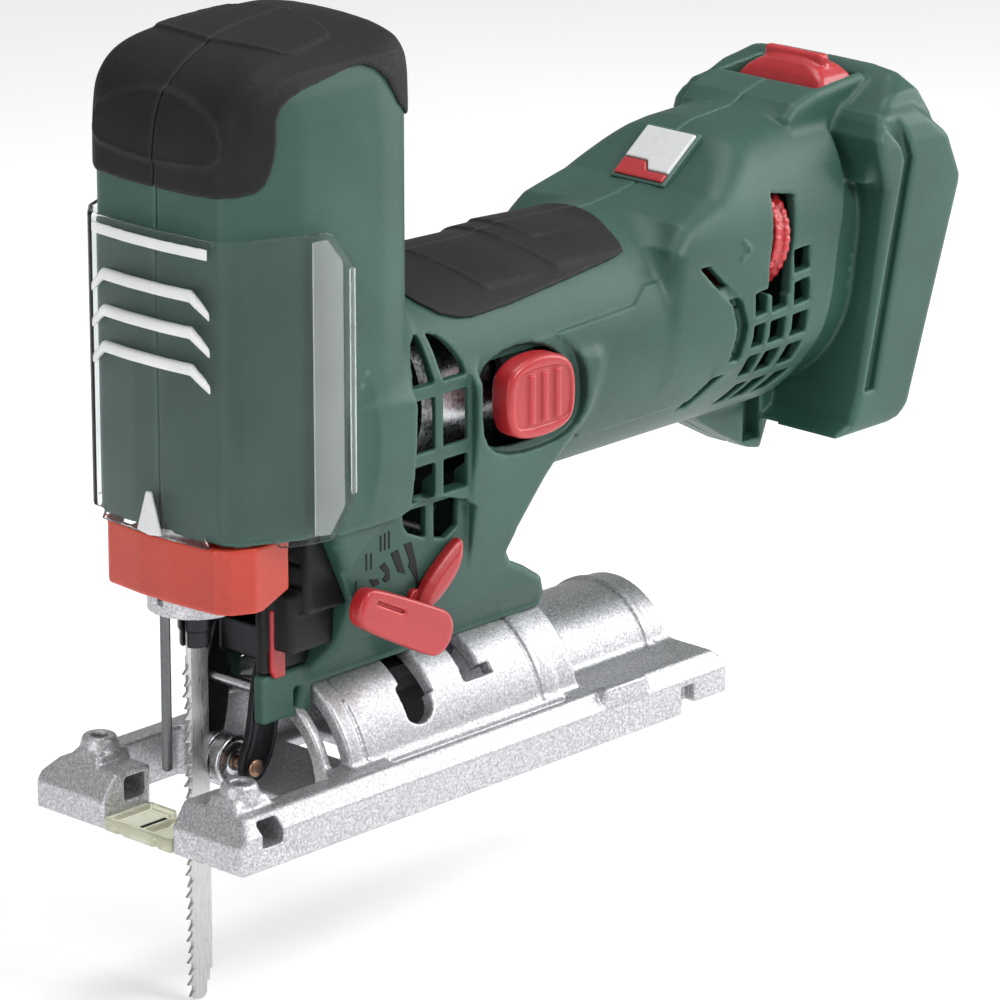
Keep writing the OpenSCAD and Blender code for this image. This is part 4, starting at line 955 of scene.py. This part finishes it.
# cast sole
def sole(g, x, y, z):
    sh = (g.n[0], g.n[1], g.n[2])
    ay = np.abs(y)
    B = lambda a: np.broadcast_to(a, sh)
    end = pyz(y, z, [(37.5, 0), (37.5, 9.6), (33.1, 14), (-33.1, 14), (-37.5, 9.6), (-37.5, 0)])
    side = pxz(x, z, [(-21, 0), (-21, 7.6), (-16.6, 14), (159, 14), (161, 12), (161, 2.4), (148, 2.4), (148, 0)])
    v = smax(B(end), B(side), 0.9)
    # deck steps down between the rails
    # prong tops with sloped flanks, bosses for the guide screws
    top = smax(B(pxz(x, z, [(-18.6, 9), (-15.2, 16.6), (-4.6, 16.6), (-0.6, 9)])), np.maximum(F(19.0) - (z - 10) * F(-0.15) - ay, ay + (z - 14) * F(0.55) - F(30.6)) + 0 * x, 1.1)
    v = smin(v, top, 0.7)
    rr = np.sqrt((x + F(10)) ** 2 + (ay - F(25.3)) ** 2)
    boss = rmax(rr - F(4.9) + np.maximum(z - F(18.0), 0) * F(0.3) + 0 * z, B(z - F(20) + 0 * x), 0.7)
    v = smin(v, boss, 1.3)
    # raised pads and hooks at the rear
    pads = smax(B(pxz(x, z, [(111, 4), (113.6, 14.9), (129.6, 14.9), (132.4, 4)])), np.maximum(F(33.0) - ay, ay - F(37.1)) + 0 * x + 0 * z, 0.8)
    v = smin(v, pads, 0.5)
    rad = np.sqrt(y * y + (z - F(8)) ** 2) + 0 * x
    fl = F(0.4) - z
    sad = rmax(rad - F(29), B(np.maximum(F(27) - x, x - F(112)) + 0 * y), 0.8)
    # steps on the saddle: a lower front ring and a rear taper
    sad = smax(sad, -B(np.maximum(np.maximum(np.abs(x - F(32.6)) - F(0.5), F(28.3) - rad), 0 * x + F(3) - z)), 0.3)
    sad = smax(sad, -B(np.maximum(np.maximum(np.abs(x - F(98.0)) - F(0.6), F(28.2) - rad), 0 * x + F(3) - z)), 0.3)
    col = rmax(rad - F(24.8), B(np.maximum(F(21) - x, x - F(29)) + 0 * y), 0.6)
    duct = rmax(rad - F(20.0), B(np.maximum(F(100) - x, x - F(158)) + 0 * y), 0.9)
    rib = np.maximum(np.abs(x - F(150)) - F(1.2), rad - F(20.8))
    duct = smin(duct, B(rib), 0.5)
    cone = np.maximum(rad - F(29) + np.clip((x - F(104)) * F(0.85), 0, 9), np.maximum(F(100) - x, x - F(115)))
    tube = smin(smin(smin(sad, col, 1.2), duct, 2.0), B(cone), 1.0)
    tube = np.maximum(tube, B(F(2) - z))
    v = smin(v, tube, 2.2)
    # openings
    v = smax(v, -B(dbox(x, y, z, (-40, -12.4, -9), (2, 12.4, 40), 1.2)), 0.6)
    v = smax(v, -B(dbox(x, y, z, (-4.7, -27.5, -9), (20.9, 27.5, 40), 2.0)), 0.6)
    v = smax(v, -B(dbox(x, y, z, (-13.6, -70, 6), (-6.4, 70, 12.1), 0.5)), 0.3)
    v = np.where(z > 5, smax(v, F(2.15) - rr + 0 * z, 0.5), v)
    hol = np.maximum(rad - F(25), np.maximum(F(24) - x, x - F(109)))
    hol = np.minimum(hol, np.maximum(rad - F(20.8), np.maximum(F(10) - x, x - F(45))))
    hol = np.minimum(hol, np.maximum(rad - F(16.6), np.maximum(F(100) - x, x - F(180))))
    v = smax(v, -B(np.maximum(hol, F(3.5) - z)), 0.6)
    # slots over the saddle: a D shape for the clamp screw, an L for the stop pin
    ang = np.degrees(np.arctan2(y, z - F(8))) + 0 * x
    aa = np.abs(ang)
    arc1 = (aa - F(54)) * F(0.49)
    s1 = np.maximum(np.maximum(np.abs(x - F(57)) - F(4.7), arc1), F(20) - rad)
    s1d = np.maximum(np.sqrt((x - F(54.5)) ** 2 + ((aa - F(56)) * F(0.49)) ** 2) - F(5.8), F(20) - rad)
    s1d = np.maximum(s1d, F(50.2) - x)
    v = smax(v, -np.minimum(s1, s1d), 0.5)
    s2 = np.maximum(np.maximum(np.abs(x - F(77)) - F(3.3), (aa - F(52)) * F(0.49)), F(20) - rad)
    s2l = np.maximum(np.maximum(np.abs(x - F(78.6)) - F(5.2), np.abs(aa - F(52)) * F(0.49) - F(1.4)), F(20) - rad)
    v = smax(v, -np.minimum(s2, s2l), 0.4)
    v = smax(v, -B(dbox(x, y, z, (51, -20, -9), (63, 20, 6), 0.6)), 0.4)
    hook = np.maximum(np.maximum(np.abs(x - F(145.5)) - F(2.6), z - F(7.8)), F(33.4) - ay)
    v = smax(v, -B(hook), 0.5)
    # shallow pocket between saddle and rail, each side
    pk = np.maximum(np.maximum(np.abs(x - F(72)) - F(33), np.abs(ay - F(30.9)) - F(1.1)), F(12.4) - z)
    v = smax(v, -B(pk), 0.8)
    return v


solid("cast_sole", (-22.5, -39, -1.2), (162.5, 39, 38.6), 0.6, sole, ALU, "sole", ["base_plate"])


def insert(g, x, y, z):
    v = dbox(x, y, z, (-21.4, -12.1, 0.3), (-5.0, 12.1, 3.9), 0.5)
    v = smax(v, -dbox(x, y, z, (-19.8, -10.2, 2.6), (-6.4, -1.6, 6), 0.6), 0.3)
    v = smax(v, -dbox(x, y, z, (-19.8, 1.6, 2.6), (-6.4, 10.2, 6), 0.6), 0.3)
    vg = np.maximum((np.abs(y) * F(0.8) - (x + F(10.5)) * F(0.35)) * F(0.8), F(-10) - x) + 0 * z
    v = smax(v, -np.broadcast_to(vg, v.shape), 0.3)
    for q in (-1, 1):
        v = smax(v, -dbox(x, y, z, (-22.4, q * 6.5 - 0.7, 0), (-20.7, q * 6.5 + 0.7, 2.4), 0.2), 0.3)
    return v


solid("splinter_guard", (-22.6, -13, -0.4), (-4, 13, 4.8), 0.3, insert, CLEARY, "sole", ["splinter_insert"])
solid("cut_line_mark", (-20.5, -1.2, 3.2), (-10.5, 1.2, 4.8), 0.16, lambda g, x, y, z: dbox(x, y, z, (-19.9, -0.55, 3.6), (-11.2, 0.55, 4.15), 0.12), BLACKPL, "sole")


# fork, roller and their pins
def fork(g, x, y, z):
    sh = (g.n[0], g.n[1], g.n[2])
    P = chaikin([(6.6, 11.6), (8.6, 9.9), (12.6, 10.4), (16.4, 15), (18.6, 21), (19.9, 31), (20.0, 50), (15.6, 50), (13, 42.6), (11, 36.6), (9.8, 29), (8.6, 22), (6.6, 18.6), (5.8, 15)], 2)
    d2 = np.broadcast_to(pxz(x, z, P), sh)
    v = rmax(d2, np.broadcast_to(np.maximum(F(8.0) - np.abs(y), np.abs(y) - F(10.3)) + 0 * x, sh), 0.35)
    br = dbox(x, y, z, (16.4, -10.0, 40.4), (20, 10.0, 49.6), 0.5)
    v = smin(v, br, 0.6)
    e = np.broadcast_to(np.abs(d2 + F(1.3)) - F(0.35), sh)
    v = smax(v, -np.maximum(e, F(10.05) - np.abs(y)), 0.2)
    v = np.maximum(v, F(1.52) - np.sqrt((x - F(14)) ** 2 + (z - F(34)) ** 2) + 0 * y)
    return v


solid("fork_plates", (4.5, -11.2, 8.8), (21.2, 11.2, 51), 0.36, fork, DARK, "fork", ["roller_fork"])


def pins(g, x, y, z):
    v = dcyl(x, z, y, (10, 14.5), 1.48, -11.6, 11.6, 0.25)
    for q in (-1, 1):
        head = dcyl(x, z, y * q, (10, 14.5), 2.35, 10.2, 11.4, 0.4)
        head = smax(head, -np.maximum(np.abs(np.sqrt((x - F(10)) ** 2 + (z - F(14.5)) ** 2) - F(1.2)) - F(0.18), F(11.1) - y * q), 0.1)
        v = smin(v, head, 0.15)
    return v


solid("roller_axle", (7, -12.2, 11.5), (13, 12.2, 17.6), 0.28, pins, COPPIN, "fork", ["roller_pin"])


def roll(g, x, y, z):
    r = np.sqrt((x - F(10)) ** 2 + (z - F(14.5)) ** 2) + 0 * y
    v = rmax(r - F(6.95), np.abs(y) - F(3.95) + 0 * r, 0.6)
    v = smax(v, -np.maximum(np.abs(y) - F(0.95) + 0 * r, F(5.7) - r), 0.25)
    v = smax(v, -np.maximum(np.abs(r - F(4.1)) - F(1.1), F(3.5) - np.abs(y)), 0.3)
    return np.maximum(v, F(1.55) - r)


solid("back_roller", (2.4, -4.6, 6.9), (17.6, 4.6, 22.2), 0.3, roll, STEEL, "roller", ["guide_roller"])


def collar(g, x, y, z):
    r = np.sqrt(x * x + y * y) + 0 * z
    v = rmax(r - F(4.0), np.maximum(F(47.6) - z, z - F(61)) + 0 * r, 0.5)
    v = smin(v, rmax(r - F(4.45), np.maximum(F(52) - z, z - F(60.9)) + 0 * r, 0.4), 0.4)
    v = smin(v, rmax(r - F(6.6), np.maximum(F(57.0) - z, z - F(60.2)) + 0 * r, 0.6), 0.4)
    for k in range(8):
        a = math.radians(45 * k + 22)
        v = smax(v, F(1.0) - np.sqrt((x - F(7.0 * math.cos(a))) ** 2 + (y - F(7.0 * math.sin(a))) ** 2) + 0 * z, 0.3)
    v = smax(v, -dbox(x, y, z, (-9, -0.7, 40), (9, 0.7, 56.6), 0), 0.2)
    return v


solid("clamp_collar", (-7.4, -7.4, 46.6), (7.4, 7.4, 62), 0.32, collar, DARK, "plunger", ["blade_clamp"])


def guard(g, x, y, z):
    r = np.sqrt((x + F(10.4)) ** 2 + y * y) + 0 * z
    v = rmax(r - F(1.32), np.maximum(F(16.6) - z, z - F(67.8)) + 0 * r, 0.5)
    return smin(v, rmax(r - F(1.9), np.maximum(F(60.6) - z, z - F(62.4)) + 0 * r, 0.3), 0.4)


solid("guard_wire", (-12.7, -2.3, 16), (-8.1, 2.3, 68.6), 0.26, guard, GUARDM, "main", ["guard_rod"])


# saw blade with set teeth
def blade():
    xb, xf, t = 3.9, -3.4, 0.65
    rows = []          # z, front x, sideways set of the front point, back x
    zt = -48.0
    rows.append((zt, xf + 1.9, 0, xb - 3.4))
    rows.append((zt + 0.5, xf + 0.5, 0, xb - 2.6))
    k = 0
    z = zt + 1.4
    while z < 42.5:
        st = 0.32 * (1 if k % 2 else -1)
        bx = xb if z > zt + 7.5 else xb - 2.5 * (1 - (z - zt) / 7.5)
        rows.append((z - 0.02, xf - 0.15, 0, bx))
        rows.append((z, xf - 0.95, st, bx))
        rows.append((z + 0.35, xf - 0.62, st * 0.8, bx))
        rows.append((z + 1.5, xf + 0.35, st * 0.15, bx))
        rows.append((z + 2.2, xf + 0.55, 0, bx))
        rows.append((z + 2.8, xf + 0.25, 0, bx))
        z += 3.0
        k += 1
    rows += [(43.6, xf + 0.3, 0, xb), (45.6, xf + 0.4, 0, xb), (46.8, -3.1, 0, 3.1), (58, -3.1, 0, 3.1)]
    V, Q = [], []
    for (zz, fx, st, bx) in rows:
        mx = max(fx + 0.4, xf + 1.15)
        for sg in (-1, 1):
            V.append((fx, sg * t * 0.62 + st, zz))
            V.append((mx, sg * t, zz))
            V.append((mx + (bx - mx) * 0.5, sg * t, zz))
            V.append((bx - 0.3, sg * t, zz))
            V.append((bx, sg * t * 0.6, zz))
    n = len(rows)
    at = lambda i, sg, j: i * 10 + (0 if sg < 0 else 5) + j
    for i in range(n - 1):
        for j in range(4):
            Q.append((at(i, -1, j), at(i, -1, j + 1), at(i + 1, -1, j + 1), at(i + 1, -1, j)))
            Q.append((at(i, 1, j + 1), at(i, 1, j), at(i + 1, 1, j), at(i + 1, 1, j + 1)))
        Q.append((at(i, -1, 4), at(i, 1, 4), at(i + 1, 1, 4), at(i + 1, -1, 4)))
        Q.append((at(i, 1, 0), at(i, -1, 0), at(i + 1, -1, 0), at(i + 1, 1, 0)))
    for i, fl in ((0, True), (n - 1, False)):
        for j in range(4):
            q = (at(i, -1, j), at(i, 1, j), at(i, 1, j + 1), at(i, -1, j + 1))
            Q.append(q if fl else q[::-1])
    me = raw_mesh("jig_blade", np.array(V, float) * 1e-3, np.array(Q))
    me.polygons.foreach_set("use_smooth", np.zeros(len(me.polygons), bool))
    bm = bmesh.new()
    bm.from_mesh(me)
    bmesh.ops.recalc_face_normals(bm, faces=bm.faces)
    bm.to_mesh(me)
    bm.free()
    mesh_obj("jig_blade", me, BLADE, "plunger", ["saw_blade"])


blade()

# marks on the dial field: four black wedges and groups of one, two and three ticks
WEDGES = [[(33.6, 63.0), (36.9, 62.4), (37.5, 60.8), (35.1, 60.6)],
          [(37.3, 65.3), (39.4, 66.2), (41.1, 63.8), (41.3, 61.1), (39.4, 60.6), (38.4, 61.8), (39.8, 62.9)],
          [(41.5, 67.9), (44.2, 68.4), (46.9, 61.2), (44.1, 62.3)],
          [(46.2, 69.3), (49.1, 69.2), (50.7, 63.7), (51.9, 56.5), (47.8, 63.0), (48.3, 64.3)]]
TICKS = [(29.0, 59.7, 63.8), (32.8, 65.4, 70.0), (34.5, 65.4, 69.8), (38.0, 69.2, 73.6), (39.5, 69.2, 73.8), (41.0, 69.2, 74.0)]
for i, P in enumerate(WEDGES + [[(a - 0.3, b), (a + 0.3, b), (a + 0.3, c), (a - 0.3, c)] for a, b, c in TICKS]):
    q = np.array(P)
    lo, hi = q.min(0) - 0.8, q.max(0) + 0.8
    solid("mark_%d" % i, (lo[0], -29.2, lo[1]), (hi[0], -27.3, hi[1]), 0.2,
          lambda g, x, y, z, P=P: smax(np.broadcast_to(pxz(x, z, P), (g.n[0], g.n[1], g.n[2])), np.broadcast_to(np.maximum(F(-28.42) - y, y + F(27.8)) + 0 * x, (g.n[0], g.n[1], g.n[2])), 0.1),
          BLACKPL, "main")

# finish by body: every CAD node that stays gets its material
BYSLOT = {"housing": GREEN, "rubber": BLACKRUB, "red": RED, "black": BLACKPL, "steel": STEEL, "darksteel": DARK, "alu": ALU, "bronze": BRONZE,
          "copper": COPPER, "magnet": MAGNET, "clear": CLEAR, "white": WHITE, "pcb": PCB}
SLOT = {q["node"]: q["material_slot"] for q in frame["record"]["subparts"]}
for n, ob in NODES.items():
    ob.data.materials.clear()
    ob.data.materials.append(BYSLOT[SLOT[n]])

# ---------------------------------------------------------------- stage and light
def plane(name, size, loc, rot=(0, 0, 0)):
    me = bpy.data.meshes.new(name)
    me.from_pydata([(-size, -size, 0), (size, -size, 0), (size, size, 0), (-size, size, 0)], [], [(0, 1, 2, 3)])
    ob = bpy.data.objects.new(name, me)
    bpy.context.scene.collection.objects.link(ob)
    ob.location, ob.rotation_euler = loc, rot
    return ob


floor = plane("floor", 4.0, (0, 0, -0.0495))
fm, fnt, fbs = new_mat("pale_floor")
fv = coords(fnt)
fnt.links.new(ramp(fnt, noise(fnt, fv, 3, 2), [(0.3, (0.93, 0.93, 0.93)), (0.7, (0.96, 0.96, 0.96))]), fbs.inputs["Base Color"])
fbs.inputs["Roughness"].default_value = 0.85
fbs.inputs["Emission Color"].default_value = (1, 1, 1, 1)
fbs.inputs["Emission Strength"].default_value = 0.22
floor.data.materials.append(fm)

world = bpy.data.worlds.new("world")
bpy.context.scene.world = world
world.use_nodes = True
bg = world.node_tree.nodes["Background"]
bg.inputs[0].default_value = (1.0, 1.0, 1.0, 1)
bg.inputs[1].default_value = 0.40


def area(name, loc, target, size, power, sy=None, col=(1, 1, 1)):
    L = bpy.data.lights.new(name, "AREA")
    L.energy, L.size, L.color = power, size, col
    if sy:
        L.shape, L.size_y = "RECTANGLE", sy
    ob = bpy.data.objects.new(name, L)
    bpy.context.scene.collection.objects.link(ob)
    ob.location = loc
    ob.rotation_euler = (Vector(loc) - Vector(target)).to_track_quat("Z", "Y").to_euler()
    return ob


area("key", (0.25, -0.95, 0.85), (0.10, 0, 0.08), 0.50, 9)
area("top", (0.15, 0.1, 1.1), (0.10, 0, 0.08), 0.6, 5)
area("rim", (0.9, -0.35, 0.45), (0.15, 0, 0.10), 0.35, 5, 0.7)
area("front", (-0.9, -0.1, 0.35), (0.0, 0, 0.08), 0.4, 3.0, 0.8)

bpy.context.scene.view_settings.view_transform = "Standard"
bpy.context.scene.view_settings.look = "None"
bpy.context.scene.view_settings.exposure = 0.0
